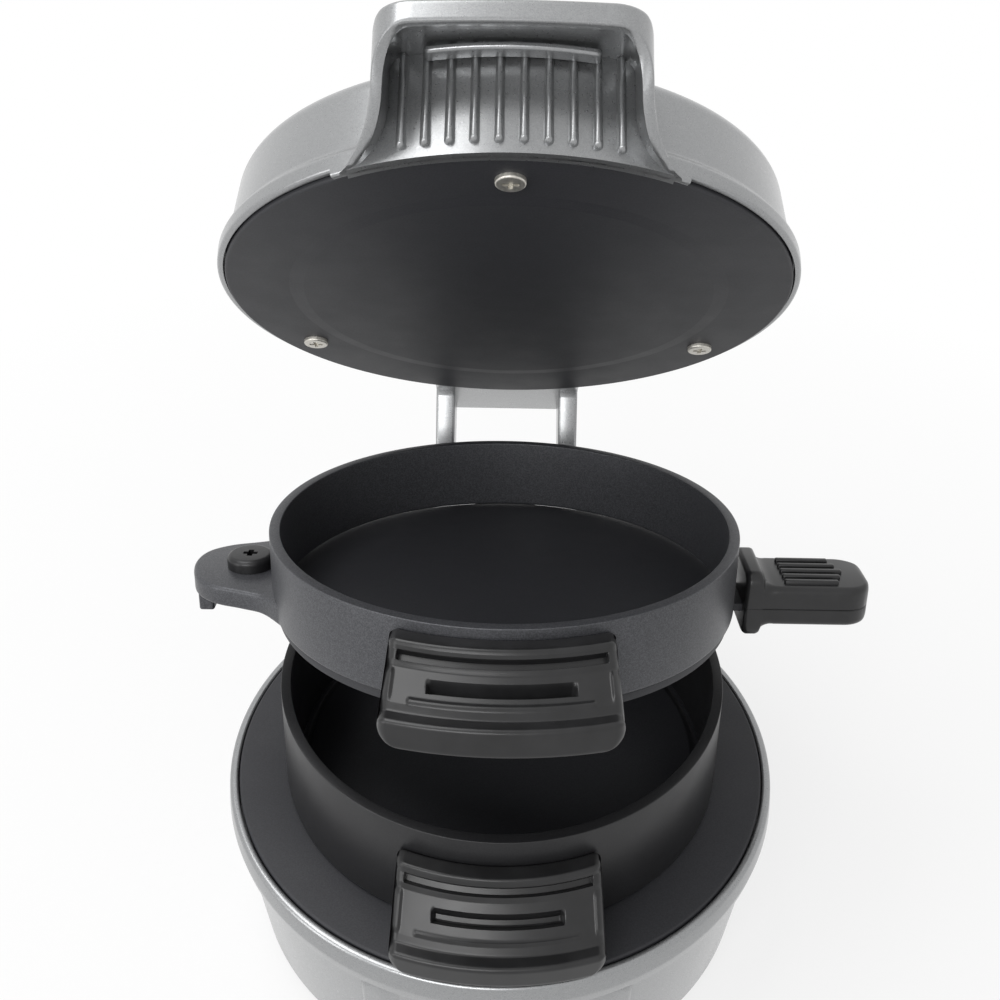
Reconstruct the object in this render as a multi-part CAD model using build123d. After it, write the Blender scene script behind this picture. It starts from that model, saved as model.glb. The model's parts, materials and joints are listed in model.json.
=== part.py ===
"""Breakfast sandwich maker: a round, hinged, four-leaf contact grill.

Frame: X to the right, Y to the back, Z up, millimetres. The origin is on the
surface that the feet stand on, under the middle of the heating plates. Every
leaf is drawn shut, level and stacked, and is then turned about the one rear
hinge line to the pose shown: cover up, egg ring lifted, lower ring down.
"""
import os
from math import asin, cos, degrees, radians, sin, sqrt

from build123d import *

# ------------------------------------------------------------ driving dimensions
# Rear hinge
HINGE_REACH = 13.0        # hinge line, behind the base's rim
HINGE_Z = 76.0            # hinge line, above the floor
PIN_R = 2.5               # steel hinge pin
PIN_HEAD_R = 4.0
PIN_HEAD_T = 1.5
KNUCKLE_R = 5.5           # outside of every hinge knuckle
PIN_PLAY = 0.08           # radial running clearance on the pin
KNUCKLE_GAP = 0.4         # side gap between neighbouring knuckles
LOWER_KNUCKLE_W = 18.0    # the middle knuckle, on the lower ring
FORK_W = 6.0              # each knuckle of the egg ring and of the cover
LUG_W = 6.5               # each lug of the hinge bracket

# Pose shown
EGG_RING_OPEN = 13.8      # degrees from shut
COVER_OPEN = 49.9         # degrees from shut

# Stack heights, shut
FOOT_H = 4.0              # rubber feet under the floor plate
PLATE_TOP = 47.0          # rim of the lower heating plate
LEAF_GAP = 0.3            # daylight between leaves that rest on each other
LOWER_RING_H = 29.6       # wall of the lower ring
COOK_PLATE_T = 2.0        # swinging cooking plate
EGG_RING_H = 18.4         # wall of the egg ring

# Heating plates and what heats them
PLATE_R = 69.0            # lower heating plate
COVER_PLATE_R = 68.6      # upper heating plate
PLATE_T = 3.0
PAD_INSET = 2.0           # raised middle that meets the bread, in from the rings' bore
PAD_RISE = 1.2
COVER_PAD_RISE = 0.5      # the upper plate's middle stands out less
PAD_BEVEL_SHARE = 0.6     # bevel of a pad's edge, as a share of its rise
SEAT_GAP = 0.3            # gap round a plate in its shell
FIT_GAP = 0.3             # gap between parts that are screwed together over a curve
ELEMENT_INSET = 8.0       # middle line of the heating element's loop, in from the studs
ELEMENT_TUBE_R = 3.2
ELEMENT_GAP_DEG = 50.0    # open part of the loop, where its cold ends come out
TAIL_L = 9.0              # cold end of an element
TAIL_R = 1.6
SHIELD_INSET = 6.0        # metal heat shield behind a plate, in from the upper plate's screws
SHIELD_T = 0.8
SHIELD_GAP = 8.4          # from the plate's back to the shield
SHIELD_HOLE_R = 13.0
SHIELD_FLANGE = 4.0       # turned edge of the shield
STUD_INSET = 6.0          # cast studs on a plate's back, in from the edge of the shield they carry
STUD_COUNT = 3
STUD_R = 3.6
THERMOSTAT_R = 8.0
THERMOSTAT_H = 9.5
BLADE_W = 6.0             # connector blades of the thermostat
BLADE_T = 0.8
BLADE_L = 7.0
BLADE_PITCH = 8.0
FUSE_X = 22.0
FUSE_R = 2.2
FUSE_L = 14.0
LEAD_R = 0.5
LEAD_L = 4.2

# Base housing
RIM_LAND = 2.7            # top of the flared rim, round the plate's seat
RIM_Z = 41.0
RIM_FOOT_Z = 37.0         # where the rim's band meets the drum
RIM_BEVEL = 1.2           # softened upper edge of the rim
RIM_STEP = 2.0            # how far the rim stands out over the drum
DRUM_TAPER = 3.0          # how much narrower the drum is at its foot
WALL = 2.2                # moulded walls
SHELF_LAP = 5.0           # how far a plate lies on the shelf in its shell
SHELF_T = 2.0
FLOOR_T = 2.4             # floor plate
FOOT_R = 7.0
FOOT_X = 33.0             # the four feet stand at plus and minus these
FOOT_Y = 46.0
FLOOR_SCREW_COUNT = 4
FLOOR_SCREW_TURN = 67.5   # degrees, where the first floor screw is
FLOOR_BOSS_INSET = 5.0    # middle of a floor boss, in from the drum's foot
FLOOR_BOSS_R = 4.6
FLOOR_BOSS_H = 14.0
VENT_COUNT = 7
VENT_W = 3.0
VENT_L = 30.0
VENT_PITCH = 6.0
PANEL_W = 63.0            # raised control panel on the drum's front
PANEL_PROUD = 1.4
PANEL_TOP_Z = 35.8
PANEL_FOOT_Z = 8.0
PANEL_CORNER_R = 5.0
LENS_R = 3.4
LENS_PITCH = 26.0
LENS_Z = 22.0
LENS_PROUD = 1.0
LENS_PLAY = 0.15
LENS_FLANGE_R = 4.8
LENS_FLANGE_T = 1.2
LAMP_R = 2.3
LAMP_L = 7.0
BOARD_T = 1.6
BOARD_INSET = 13.0        # lamp board, in from the drum's foot
BOARD_W = 40.0
BOARD_TOP_Z = 28.0
BOARD_FOOT_L = 6.4
TERMINAL_W = 30.0
TERMINAL_D = 14.0
TERMINAL_H = 12.0
TERMINAL_Y = 26.0
TERMINAL_PIT_R = 2.4
TERMINAL_PIT_D = 4.0
GLAND_X = -38.0           # cord gland in the rear wall
GLAND_Z = 15.0
GLAND_R = 5.5
GLAND_FLANGE_R = 8.0
GLAND_FLANGE_T = 2.0
GLAND_L = 14.0
GLAND_PIT_R = 3.4
GLAND_PIT_D = 3.6

# Hinge bracket on the base
BRACKET_T = 3.0           # web
BRACKET_Z0 = 18.0
BRACKET_Z1 = 60.0
PAD_Z0 = 16.0             # flat pad of the base that the bracket is screwed to
PAD_Z1 = 36.5
BRACKET_SCREW_X = 15.0
BRACKET_SCREW_Z = (22.0, 31.0)
BRACKET_GAP = 0.5         # between the rim and the bracket's web
LUG_FOOT_T = 5.0          # the lugs' foot, from the web's front
LUG_BACK_H = 12.0         # upright back of a lug, below the hinge line

# Rings
RING_R = 55.5             # outside of both rings at their top rim
RING_DRAFT = 1.1          # how much wider the lower ring is at its foot
RING_WALL = 2.5
RIM_ROUND = 0.8
LOWER_ARM_DROP = 1.5      # lower ring's arm, below the ring's rim
LOWER_ARM_H = 12.5
LOWER_ELBOW = (13.0, 9.0)  # underside's elbow, in front of and below the hinge line
EGG_ARM_DROP = 3.0        # egg ring's arms, below the ring's rim
EGG_ARM_LIFT = 2.0        # and above its foot
EGG_SHOULDER = (14.0, 2.0)  # upper side's shoulder, behind the root and below it
EGG_ELBOW = (16.0, 1.0)   # underside's elbow, in front of the hinge line and above the ring's foot
ARM_INSET = 0.4           # the arms' flanks run in under the knuckles by this much
ARM_HEEL = 2.0            # width and drop of the arms' heel at the knuckle

# Front handles of the two rings
RAIL_REACH = 4.8          # top rail, out from the ring
RAIL_H = 1.8
GROOVE_D = 1.2
GROOVE_H = 1.2
BROW_REACH = 7.2          # upper edge of the pressed face, out from the ring
BROW_H = 1.2
LIP_REACH = 18.5          # finger lip, out from the ring
LIP_H = 6.4               # height of the finger lip's face
LIP_DEPTH = 3.4           # flat on top of the lip
LIP_BLEND = 1.2           # bevel between the face and the lip's flat
EDGE = 0.8                # small bevels on moulded edges
HANDLE_TOP_DROP = 2.2     # handle's top below its ring's rim
HANDLE_TOP_W = 45.6
HANDLE_FOOT_W = 50.4
HANDLE_CORNER = 4.0
LOWER_HANDLE_H = 23.4
EGG_HANDLE_H = 15.8
SLOT_W = 29.0             # pressed slot in the handle's face
SLOT_H = 3.4
SLOT_D = 2.4
SLOT_SHARE = 0.42         # how far down the face the slot lies
BEAD_W = 37.0             # thin raised line under the slot
BEAD_R = 0.6
BEAD_SHARE = 0.9
CHEEK_W = 1.8             # plain border that closes the groove at each side
HANDLE_SCREW_X = 18.0
HANDLE_SCREW_REACH = 6.4

# Cooking plate, its pivot and its side handle
PIVOT_REACH = 6.0         # pivot, out from the ring
PIVOT_R = 3.0
PIVOT_PLAY = 0.1
PIVOT_HEAD_R = 5.6
PIVOT_HEAD_H = 3.2
PIVOT_NUT_R = 4.6
PIVOT_NUT_H = 2.0
COOK_INSET = 1.0          # cooking plate's edge, in from the ring's outside
LUG_R = 9.0
LUG_BLEND = 4.0
EAR_ROOT_HALF_W = 22.0    # the ear where it meets the ring
EAR_HALF_W = 14.4         # the ear beside the pivot
EAR_SHOULDER = (7.5, 11.0)  # its round shoulder, out from the pivot and to each side
EAR_TIP_L = 14.5          # from the pivot to the ear's tip
EAR_TOP_DROP = 13.4       # ear's upper face, below the egg ring's rim
EAR_EDGE = 0.8            # rounded upper edge of the ear
TAB_T = 3.0               # stop tab under the ear's tip
TAB_Y0 = 0.5
TAB_Y1 = 6.0
TAB_DROP = 8.4
FLANGE_GAP = 2.0          # inner face of the side handle's flange, out from the ring
FLANGE_T = 4.2
FLANGE_H = 16.6
FLANGE_LIFT = 1.8         # middle of the side handle above the cooking plate
FLANGE_CORNER_R = 3.0
NECK_BLEND_R = 2.8        # hollow between the flange and the grip
HANDLE_L = 30.5           # side handle, from the flange's inner face to the nose
GRIP_H = 10.0
GRIP_W = 18.6
GRIP_NOSE_R = 6.5
GRIP_EDGE_R = 1.4
RIDGE_COUNT = 5
RIDGE_PITCH = 3.0
RIDGE_W = 1.7
RIDGE_H = 0.9
RIDGE_ROUND = 0.5
RIDGE_START = 9.5         # from the flange's inner face
RIDGE_L = 15.0            # the middle ridge; the others follow the nose and are shorter
RIDGE_STAGGER = 0.35      # shorter by this share of the distance from the middle
SOLE_H = 0.8              # low pad under the grip
SOLE_W = 11.0
TONGUE_W = 12.0           # tongue of the cooking plate inside the side handle
TONGUE_L = 16.0

# Cover
COVER_RIM_LAND = 1.5      # wall of the rim round the upper plate
COVER_RIM_H = 4.4
COVER_RIM_ROLL = (0.5, 0.6)  # bevel at the rim's foot, across and up
COVER_RIM_SLOPE_H = 1.2   # slope from the rim up to the wall
COVER_RIM_STEP = 2.0      # how far the rim stands out over the wall
COVER_WALL_TAPER = 2.2    # how much narrower the wall is at its shoulder
RIM_RECESS_H = 1.2        # away from the hood, the rim ends this much higher
RIM_RECESS_GAP = 1.5      # from the hood's foot to the recess
COVER_SHOULDER_H = 20.5
COVER_SHOULDER_W = 6.2    # width of the round shoulder, in from the wall to the crown
COVER_SHOULDER_BOW = (1.2, 3.4)  # middle of that round, in and up from the wall's top
COVER_CROWN_EDGE_H = 26.0
COVER_CROWN_H = 29.4
COVER_FLAT_R = 12.0       # level middle of the crown
COVER_SCREW_INSET = 8.6   # the plate's screws, in from its edge
COVER_SCREW_COUNT = 3
COVER_SCREW_CAP_H = 1.2
COVER_BOSS_R = 4.4
COVER_BOSS_H = 17.0
COVER_RIM_DROP = 0.2      # the rim hangs this far below the plate's rim
HOUSING_H = 15.0          # rear hinge housing above the plate's rim
HOUSING_BACK = 6.0        # back of the housing, behind the hinge line
HOUSING_LAP = 6.0         # how far it runs in under the dome's wall
HOUSING_ROOF_LIFT = 1.2   # underside of the housing above the plate's rim
HOUSING_CROWN = (4.0, 1.0)  # where its top turns down, in front of the hinge line and below the top
HOUSING_SLOPE = (1.5, 8.0)  # foot of that turn, in from the back and below the top
LEG_FRONT = (14.0, 4.0)   # leg's root, in front of the hinge line and above the underside
LEG_HEEL = (13.0, 2.0)    # leg's heel, in front of the hinge line and below the underside
LEG_INSET = 0.6           # leg, in from the housing's back

# Hooded cover handle
HOOD_DEPTH = 15.3         # front of the hood, out from the wall behind the ribs
HOOD_HALF_W = 26.6
HOOD_BELL_HALF_W = 34.5   # flared foot of the hood, where it meets the rim
HOOD_BELL_H = 9.0
HOOD_BELL_BOW = 0.3       # fullness of the flare's hollow
HOOD_TOP_H = 22.6         # top of the hood's front, above the plate's rim
HOOD_RISE = 6.0           # degrees that its roof climbs towards the dome
HOOD_SHOULDER_R = 5.0     # round edges of the roof
HOOD_SHOULDER_H = 11.0    # the rounded sides reach this far below the roof
HOOD_LAP = 15.0           # how far the roof runs in over the crown
HOOD_LIP_T = 2.6          # level underside of the front band
HOOD_MOUTH_BOW = (15.0, 7.5)  # fullness of the curve from the rim to the band, out and up
HOOD_LIP_H = 5.0          # height of the front band
HOOD_WALL = 2.3
HOOD_CORNER_R = 8.5
HOOD_CORNER_DRAFT = 0.6   # the sides close in by this much towards the front corners
HOOD_CORNER_BOW = (0.3, 2.2)  # middle of a front corner: share of its radius, and back from the front
HOOD_FRONT_BOW = 0.6      # the front arches out by this much
HOOD_FLARE_RUN = 11.0     # the sides' flare in plan, from the rim forwards
HOOD_FLARE_BOW = (0.25, 4.5)  # fullness of that flare
GRILLE_PROUD = 0.6        # wall behind the ribs, out from the rim
GRILLE_ROOT = 1.0         # how deep the ribs are rooted in that wall
RIB_COUNT = 10
RIB_PITCH = 4.75
RIB_W = 2.2
RIB_PROUD = 1.7
RIB_FOOT_H = 1.7
BAR_H = 17.5              # underside of the bar across the ribs
BAR_HALF_W = 16.4
BAR_T = 1.9
BAR_GAP = 0.9             # daylight between the bar and the wall
BAR_PROUD = 3.4

# Fasteners
SCREW_R = 1.6             # shank of the small screws
SCREW_CAP_R = 3.2
SCREW_CAP_H = 1.6
SCREW_L = 9.0
HOLE_PLAY = 0.15
CROSS_W = 1.0             # arm of a cross recess
CROSS_SPAN = 1.1          # length of its arms, as a share of the head's radius

# ----------------------------------------------------------------- worked out
FLOOR_Z0 = FOOT_H
FLOOR_Z1 = FLOOR_Z0 + FLOOR_T
PLATE_Z0 = PLATE_TOP - PLATE_T
RIM_TOP_Z = PLATE_TOP - LEAF_GAP
RIM_R = PLATE_R + SEAT_GAP + RIM_LAND
DRUM_TOP_R = RIM_R - RIM_STEP
DRUM_FOOT_R = DRUM_TOP_R - DRUM_TAPER
SHELF_R = PLATE_R - SHELF_LAP
FLOOR_BOSS_PITCH_R = DRUM_FOOT_R - FLOOR_BOSS_INSET
BOARD_Y = -DRUM_FOOT_R + BOARD_INSET
HINGE_Y = RIM_R + HINGE_REACH
LOWER_RING_Z0 = PLATE_TOP + LEAF_GAP
LOWER_RING_Z1 = LOWER_RING_Z0 + LOWER_RING_H
COOK_Z0 = LOWER_RING_Z1 + LEAF_GAP
COOK_Z1 = COOK_Z0 + COOK_PLATE_T
EGG_RING_Z0 = COOK_Z1 + LEAF_GAP
EGG_RING_Z1 = EGG_RING_Z0 + EGG_RING_H
COVER_Z = EGG_RING_Z1 + LEAF_GAP
EAR_Z1 = EGG_RING_Z1 - EAR_TOP_DROP
GRIP_Z = (COOK_Z0 + COOK_Z1) / 2 + FLANGE_LIFT
RING_BORE_R = RING_R - RING_WALL
COOK_R = RING_R - COOK_INSET
LIP_R = RING_R + LIP_REACH
PIVOT_X = -RING_R - PIVOT_REACH
EAR_TIP_X = PIVOT_X - EAR_TIP_L
FLANGE_X = RING_R + FLANGE_GAP
RIDGE_X0 = FLANGE_X + RIDGE_START
COVER_RIM_R = COVER_PLATE_R + SEAT_GAP + COVER_RIM_LAND
COVER_WALL_FOOT_R = COVER_RIM_R - COVER_RIM_STEP
COVER_WALL_TOP_R = COVER_WALL_FOOT_R - COVER_WALL_TAPER
COVER_CROWN_R = COVER_WALL_TOP_R - COVER_SHOULDER_W
COVER_SHELF_R = COVER_PLATE_R - SHELF_LAP
COVER_SCREW_PITCH_R = COVER_PLATE_R - COVER_SCREW_INSET
SHIELD_R = COVER_SCREW_PITCH_R - SHIELD_INSET
STUD_PITCH_R = SHIELD_R - STUD_INSET
ELEMENT_R = STUD_PITCH_R - ELEMENT_INSET
PAD_R = RING_BORE_R - PAD_INSET
GRILLE_R = COVER_RIM_R + GRILLE_PROUD
HOOD_REACH = GRILLE_R + HOOD_DEPTH
HOUSING_BACK_Y = HINGE_Y + HOUSING_BACK
HANDLE_SCREW_Y = -RING_R - HANDLE_SCREW_REACH

EGG_FORK_X = LOWER_KNUCKLE_W / 2 + KNUCKLE_GAP
COVER_FORK_X = EGG_FORK_X + FORK_W + KNUCKLE_GAP
LUG_X = COVER_FORK_X + FORK_W + KNUCKLE_GAP
LUG_END_X = LUG_X + LUG_W
PIN_HALF_L = LUG_END_X + KNUCKLE_GAP
WEB_Y0 = RIM_R + BRACKET_GAP
WEB_Y1 = WEB_Y0 + BRACKET_T
HINGE_LINE = Axis((0, HINGE_Y, HINGE_Z), (-1, 0, 0))
FAR = 200.0               # longer than anything, for cutting tools


# -------------------------------------------------------------------- helpers
def outline_xz(*points):
    """Closed outline seen from the front, from (x, z) pairs."""
    return Plane.XZ * make_face(Polyline(*points, close=True))


def outline_yz(*points):
    """Closed outline seen from the right, from (y, z) pairs."""
    return Plane.YZ * make_face(Polyline(*points, close=True))


def lathe(*points):
    """Body of revolution about Z, from (radius, z) pairs."""
    return revolve(outline_xz(*points), Axis.Z)


def disc(radius, z0, z1, x=0.0, y=0.0):
    """Upright cylinder between two heights."""
    return Pos(x, y, (z0 + z1) / 2) * Cylinder(radius, z1 - z0)


def block(x0, x1, y0, y1, z0, z1):
    """Box between two corners."""
    return Pos((x0 + x1) / 2, (y0 + y1) / 2, (z0 + z1) / 2) * Box(x1 - x0, y1 - y0, z1 - z0)


def across(outline, x0, x1):
    """A YZ outline run along X from x0 to x1."""
    return Pos(x0, 0, 0) * extrude(outline, amount=x1 - x0)


def along_y(radius, x, y0, y1, z):
    """Cylinder that lies along Y."""
    return Pos(x, (y0 + y1) / 2, z) * Rot(90, 0, 0) * Cylinder(radius, y1 - y0)


def on_hinge(radius, x0, x1):
    """Cylinder on the hinge line between x0 and x1."""
    return Pos((x0 + x1) / 2, HINGE_Y, HINGE_Z) * Rot(0, 90, 0) * Cylinder(radius, x1 - x0)


def with_twin(shape):
    """The shape and its mirror image on the other side of the middle plane."""
    return shape + mirror(shape, Plane.YZ)


def on_circle(radius, count, first_deg):
    """Evenly spaced (x, y) places on a circle."""
    turns = [radians(first_deg + 360 * i / count) for i in range(count)]
    return [(radius * cos(t), radius * sin(t)) for t in turns]


def screw(cap_r=SCREW_CAP_R, cap_h=SCREW_CAP_H, shank_r=SCREW_R, length=SCREW_L):
    """Cross-recess screw with its head standing on the origin and its shank below."""
    arm = cap_r * CROSS_SPAN
    recess = Box(arm, CROSS_W, cap_h) + Box(CROSS_W, arm, cap_h)
    head = disc(cap_r, 0, cap_h) - Pos(0, 0, cap_h) * recess
    rim = head.edges().filter_by(GeomType.CIRCLE).group_by(Axis.Z)[-1]
    return chamfer(rim, EDGE / 2) + disc(shank_r, -length, 0)


def lifted(shape, degrees_open):
    """Turn a shut piece up about the rear hinge line."""
    return shape.rotate(HINGE_LINE, degrees_open)


def ring_outer_r(z, z0, z1, draft):
    """Outside radius of a ring's wall at height z."""
    return RING_R + draft * (z1 - z) / (z1 - z0)


def drum_r(z):
    """Outside radius of the tapered drum at height z."""
    return DRUM_FOOT_R + (DRUM_TOP_R - DRUM_FOOT_R) * (z - FLOOR_Z0) / (RIM_FOOT_Z - FLOOR_Z0)


# ------------------------------------------------------------------------ base
FLOOR_SCREWS = on_circle(FLOOR_BOSS_PITCH_R, FLOOR_SCREW_COUNT, FLOOR_SCREW_TURN)
PLATE_STUDS = on_circle(STUD_PITCH_R, STUD_COUNT, 90)


def base_shell():
    """Tapered drum with a flared rim, a shelf for the plate and a raised control panel."""
    body = lathe(
        (0, FLOOR_Z0), (drum_r(FLOOR_Z0), FLOOR_Z0), (drum_r(RIM_FOOT_Z), RIM_FOOT_Z),
        (RIM_R - RIM_BEVEL / 2, RIM_FOOT_Z + RIM_BEVEL), (RIM_R, RIM_Z),
        (RIM_R - RIM_BEVEL / 4, RIM_Z + 2 * RIM_BEVEL), (RIM_R - RIM_BEVEL, RIM_TOP_Z - EDGE),
        (PLATE_R + SEAT_GAP + EDGE, RIM_TOP_Z), (0, RIM_TOP_Z))
    panel_face = RectangleRounded(PANEL_W, PANEL_TOP_Z - PANEL_FOOT_Z, PANEL_CORNER_R)
    panel = extrude(Plane.XZ * Pos(0, (PANEL_TOP_Z + PANEL_FOOT_Z) / 2) * panel_face, amount=FAR)
    body += panel & disc(drum_r(LENS_Z) + PANEL_PROUD, PANEL_FOOT_Z, PANEL_TOP_Z)
    body += block(-LUG_END_X, LUG_END_X, 0, WEB_Y0, PAD_Z0, PAD_Z1)
    body -= lathe(
        (0, 0), (drum_r(FLOOR_Z0) - WALL, 0), (drum_r(FLOOR_Z0) - WALL, FLOOR_Z0),
        (drum_r(RIM_FOOT_Z) - WALL, RIM_FOOT_Z), (SHELF_R, PLATE_Z0 - SHELF_T), (SHELF_R, PLATE_Z0),
        (PLATE_R + SEAT_GAP, PLATE_Z0), (PLATE_R + SEAT_GAP, PLATE_TOP), (0, PLATE_TOP))
    for x, y in FLOOR_SCREWS:
        body += (disc(FLOOR_BOSS_R, FLOOR_Z1, FLOOR_Z1 + FLOOR_BOSS_H, x, y)
                 & disc(drum_r(FLOOR_Z1) - WALL / 2, 0, FAR))
        body -= disc(SCREW_R + HOLE_PLAY, FLOOR_Z1 - 1, FLOOR_Z1 + SCREW_L, x, y)
    for x in (-LENS_PITCH / 2, LENS_PITCH / 2):
        body -= along_y(LENS_R + LENS_PLAY, x, -FAR, BOARD_Y, LENS_Z)
    body -= along_y(GLAND_R + HOLE_PLAY, GLAND_X, 0, FAR, GLAND_Z)
    for x in (-BRACKET_SCREW_X, BRACKET_SCREW_X):
        for z in BRACKET_SCREW_Z:
            body -= along_y(SCREW_R + HOLE_PLAY, x, WEB_Y1 - SCREW_L - EDGE, FAR, z)
    return body


def base_floor():
    """Floor plate inside the drum's foot, slotted to let heat out."""
    plate = disc(drum_r(FLOOR_Z0) - WALL - SEAT_GAP, FLOOR_Z0, FLOOR_Z1)
    for i in range(VENT_COUNT):
        x = (i - (VENT_COUNT - 1) / 2) * VENT_PITCH
        plate -= Pos(x, 0, FLOOR_Z0) * extrude(SlotOverall(VENT_L, VENT_W, rotation=90), amount=FLOOR_T)
    for x, y in FLOOR_SCREWS:
        plate -= disc(SCREW_R + HOLE_PLAY, FLOOR_Z0, FLOOR_Z1, x, y)
    return plate


def feet():
    """Four rubber feet, each a short tapered plug with a rounded sole."""
    foot = lathe((0, 0), (FOOT_R - EDGE * 2, 0), (FOOT_R, EDGE * 2), (FOOT_R - EDGE / 2, FOOT_H), (0, FOOT_H))
    return [Pos(x, y, 0) * foot for x in (-FOOT_X, FOOT_X) for y in (-FOOT_Y, FOOT_Y)]


def floor_screws():
    """Screws up through the floor plate into the drum."""
    part = Rot(180, 0, 0) * screw()
    return [Pos(x, y, FLOOR_Z0) * part for x, y in FLOOR_SCREWS]


def heating_plate(radius, pad_rise):
    """Cast heating plate on the origin plane, its pad towards +Z and its studs behind."""
    plate = disc(radius, -PLATE_T, 0) + disc(PAD_R, 0, pad_rise)
    plate = chamfer(plate.edges().group_by(Axis.Z)[-1], pad_rise * PAD_BEVEL_SHARE)
    for x, y in PLATE_STUDS:
        plate += disc(STUD_R, -PLATE_T - SHIELD_GAP, -PLATE_T, x, y)
        plate -= disc(SCREW_R + HOLE_PLAY, -PLATE_T - SHIELD_GAP, -PLATE_T, x, y)
    return plate


ELEMENT_ENDS = [(side * ELEMENT_R * sin(radians(ELEMENT_GAP_DEG / 2)),
                 -ELEMENT_R * cos(radians(ELEMENT_GAP_DEG / 2))) for side in (-1, 1)]


def heating_element():
    """Open loop of sheathed tube just behind the plate's back, cold ends turned away."""
    start = ELEMENT_GAP_DEG / 2 - 90
    loop_z = -PLATE_T - FIT_GAP - ELEMENT_TUBE_R
    loop = Pos(0, 0, loop_z) * Rot(0, 0, start) * revolve(
        Plane.XZ * Pos(ELEMENT_R, 0) * Circle(ELEMENT_TUBE_R), Axis.Z, 360 - ELEMENT_GAP_DEG)
    part = loop
    for x, y in ELEMENT_ENDS:
        part += Pos(x, y, loop_z) * Sphere(ELEMENT_TUBE_R)
        part += disc(TAIL_R, loop_z - ELEMENT_TUBE_R - TAIL_L, loop_z, x, y)
    return part


def heat_shield():
    """Pressed steel tray behind the element, screwed to the plate's studs."""
    z1 = -PLATE_T - SHIELD_GAP
    tray = disc(SHIELD_R, z1 - SHIELD_T, z1) - disc(SHIELD_HOLE_R, z1 - SHIELD_T, z1)
    edge = disc(SHIELD_R, z1 - SHIELD_T, z1 + SHIELD_FLANGE)
    tray += edge - disc(SHIELD_R - SHIELD_T, z1 - SHIELD_T, z1 + SHIELD_FLANGE)
    for x, y in PLATE_STUDS:
        tray -= disc(SCREW_R + HOLE_PLAY, z1 - SHIELD_T, z1, x, y)
    for x, y in ELEMENT_ENDS:
        tray -= disc(TAIL_R + EDGE, z1 - SHIELD_T, z1, x, y)
    return tray


def shield_screws():
    """Screws through the heat shield into the plate's studs."""
    z1 = -PLATE_T - SHIELD_GAP - SHIELD_T
    part = Rot(180, 0, 0) * screw(length=SHIELD_GAP)
    return [Pos(x, y, z1) * part for x, y in PLATE_STUDS]


def thermostat():
    """Bimetal thermostat in the middle of the plate's back, with two blades."""
    can = disc(THERMOSTAT_R, -PLATE_T - THERMOSTAT_H, -PLATE_T)
    foot = -PLATE_T - THERMOSTAT_H
    for x in (-BLADE_PITCH / 2, BLADE_PITCH / 2):
        can += block(x - BLADE_T / 2, x + BLADE_T / 2, -BLADE_W / 2, BLADE_W / 2, foot - BLADE_L, foot)
    return can


def thermal_fuse():
    """One-shot fuse that lies along the plate's back."""
    z = -PLATE_T - FIT_GAP - FUSE_R
    body = Cylinder(FUSE_R, FUSE_L) + Cylinder(LEAD_R, FUSE_L + 2 * LEAD_L)
    return Pos(FUSE_X, 0, z) * Rot(90, 0, 0) * body


def terminal_block():
    """Screw terminals on the floor plate, joining the cord to the wiring."""
    body = block(-TERMINAL_W / 2, TERMINAL_W / 2, TERMINAL_Y, TERMINAL_Y + TERMINAL_D,
                 FLOOR_Z1, FLOOR_Z1 + TERMINAL_H)
    for i in (-1, 0, 1):
        body -= disc(TERMINAL_PIT_R, FLOOR_Z1 + TERMINAL_H - TERMINAL_PIT_D, FLOOR_Z1 + TERMINAL_H,
                     i * TERMINAL_W / 3, TERMINAL_Y + TERMINAL_D / 2)
    return body


def lens(x):
    """Round indicator lens, pushed through the panel from inside."""
    face_y = -drum_r(LENS_Z) - PANEL_PROUD - LENS_PROUD
    inner_y = -sqrt((drum_r(LENS_Z) - WALL) ** 2 - (abs(x) + LENS_FLANGE_R) ** 2) + LENS_PLAY
    body = along_y(LENS_R, x, face_y, inner_y, LENS_Z)
    body = chamfer(body.edges().group_by(Axis.Y)[0], EDGE)
    return body + along_y(LENS_FLANGE_R, x, inner_y, inner_y + LENS_FLANGE_T, LENS_Z)


def lamp_board():
    """Small board that stands on the floor plate and carries the two lamps."""
    back = BOARD_Y + BOARD_T
    board = block(-BOARD_W / 2, BOARD_W / 2, BOARD_Y, back, FLOOR_Z1, BOARD_TOP_Z)
    foot = block(-BOARD_W / 4, BOARD_W / 4, back, back + BOARD_FOOT_L, FLOOR_Z1, FLOOR_Z1 + BOARD_T)
    return board + foot


def lamps():
    """The two indicator lamps behind their lenses."""
    found = []
    for x in (-LENS_PITCH / 2, LENS_PITCH / 2):
        body = along_y(LAMP_R, x, BOARD_Y - LAMP_L + LAMP_R, BOARD_Y, LENS_Z)
        found.append(body + Pos(x, BOARD_Y - LAMP_L + LAMP_R, LENS_Z) * Sphere(LAMP_R))
    return found


def cord_gland():
    """Bushing in the rear wall where the power cord would enter."""
    wall_y = sqrt(drum_r(GLAND_Z) ** 2 - (abs(GLAND_X) - GLAND_FLANGE_R) ** 2) + FIT_GAP
    body = along_y(GLAND_FLANGE_R, GLAND_X, wall_y, wall_y + GLAND_FLANGE_T, GLAND_Z)
    body = chamfer(body.edges().group_by(Axis.Y)[-1], EDGE)
    body += along_y(GLAND_R, GLAND_X, wall_y - GLAND_L, wall_y, GLAND_Z)
    return body - along_y(GLAND_PIT_R, GLAND_X, wall_y + GLAND_FLANGE_T - GLAND_PIT_D, FAR, GLAND_Z)


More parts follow.
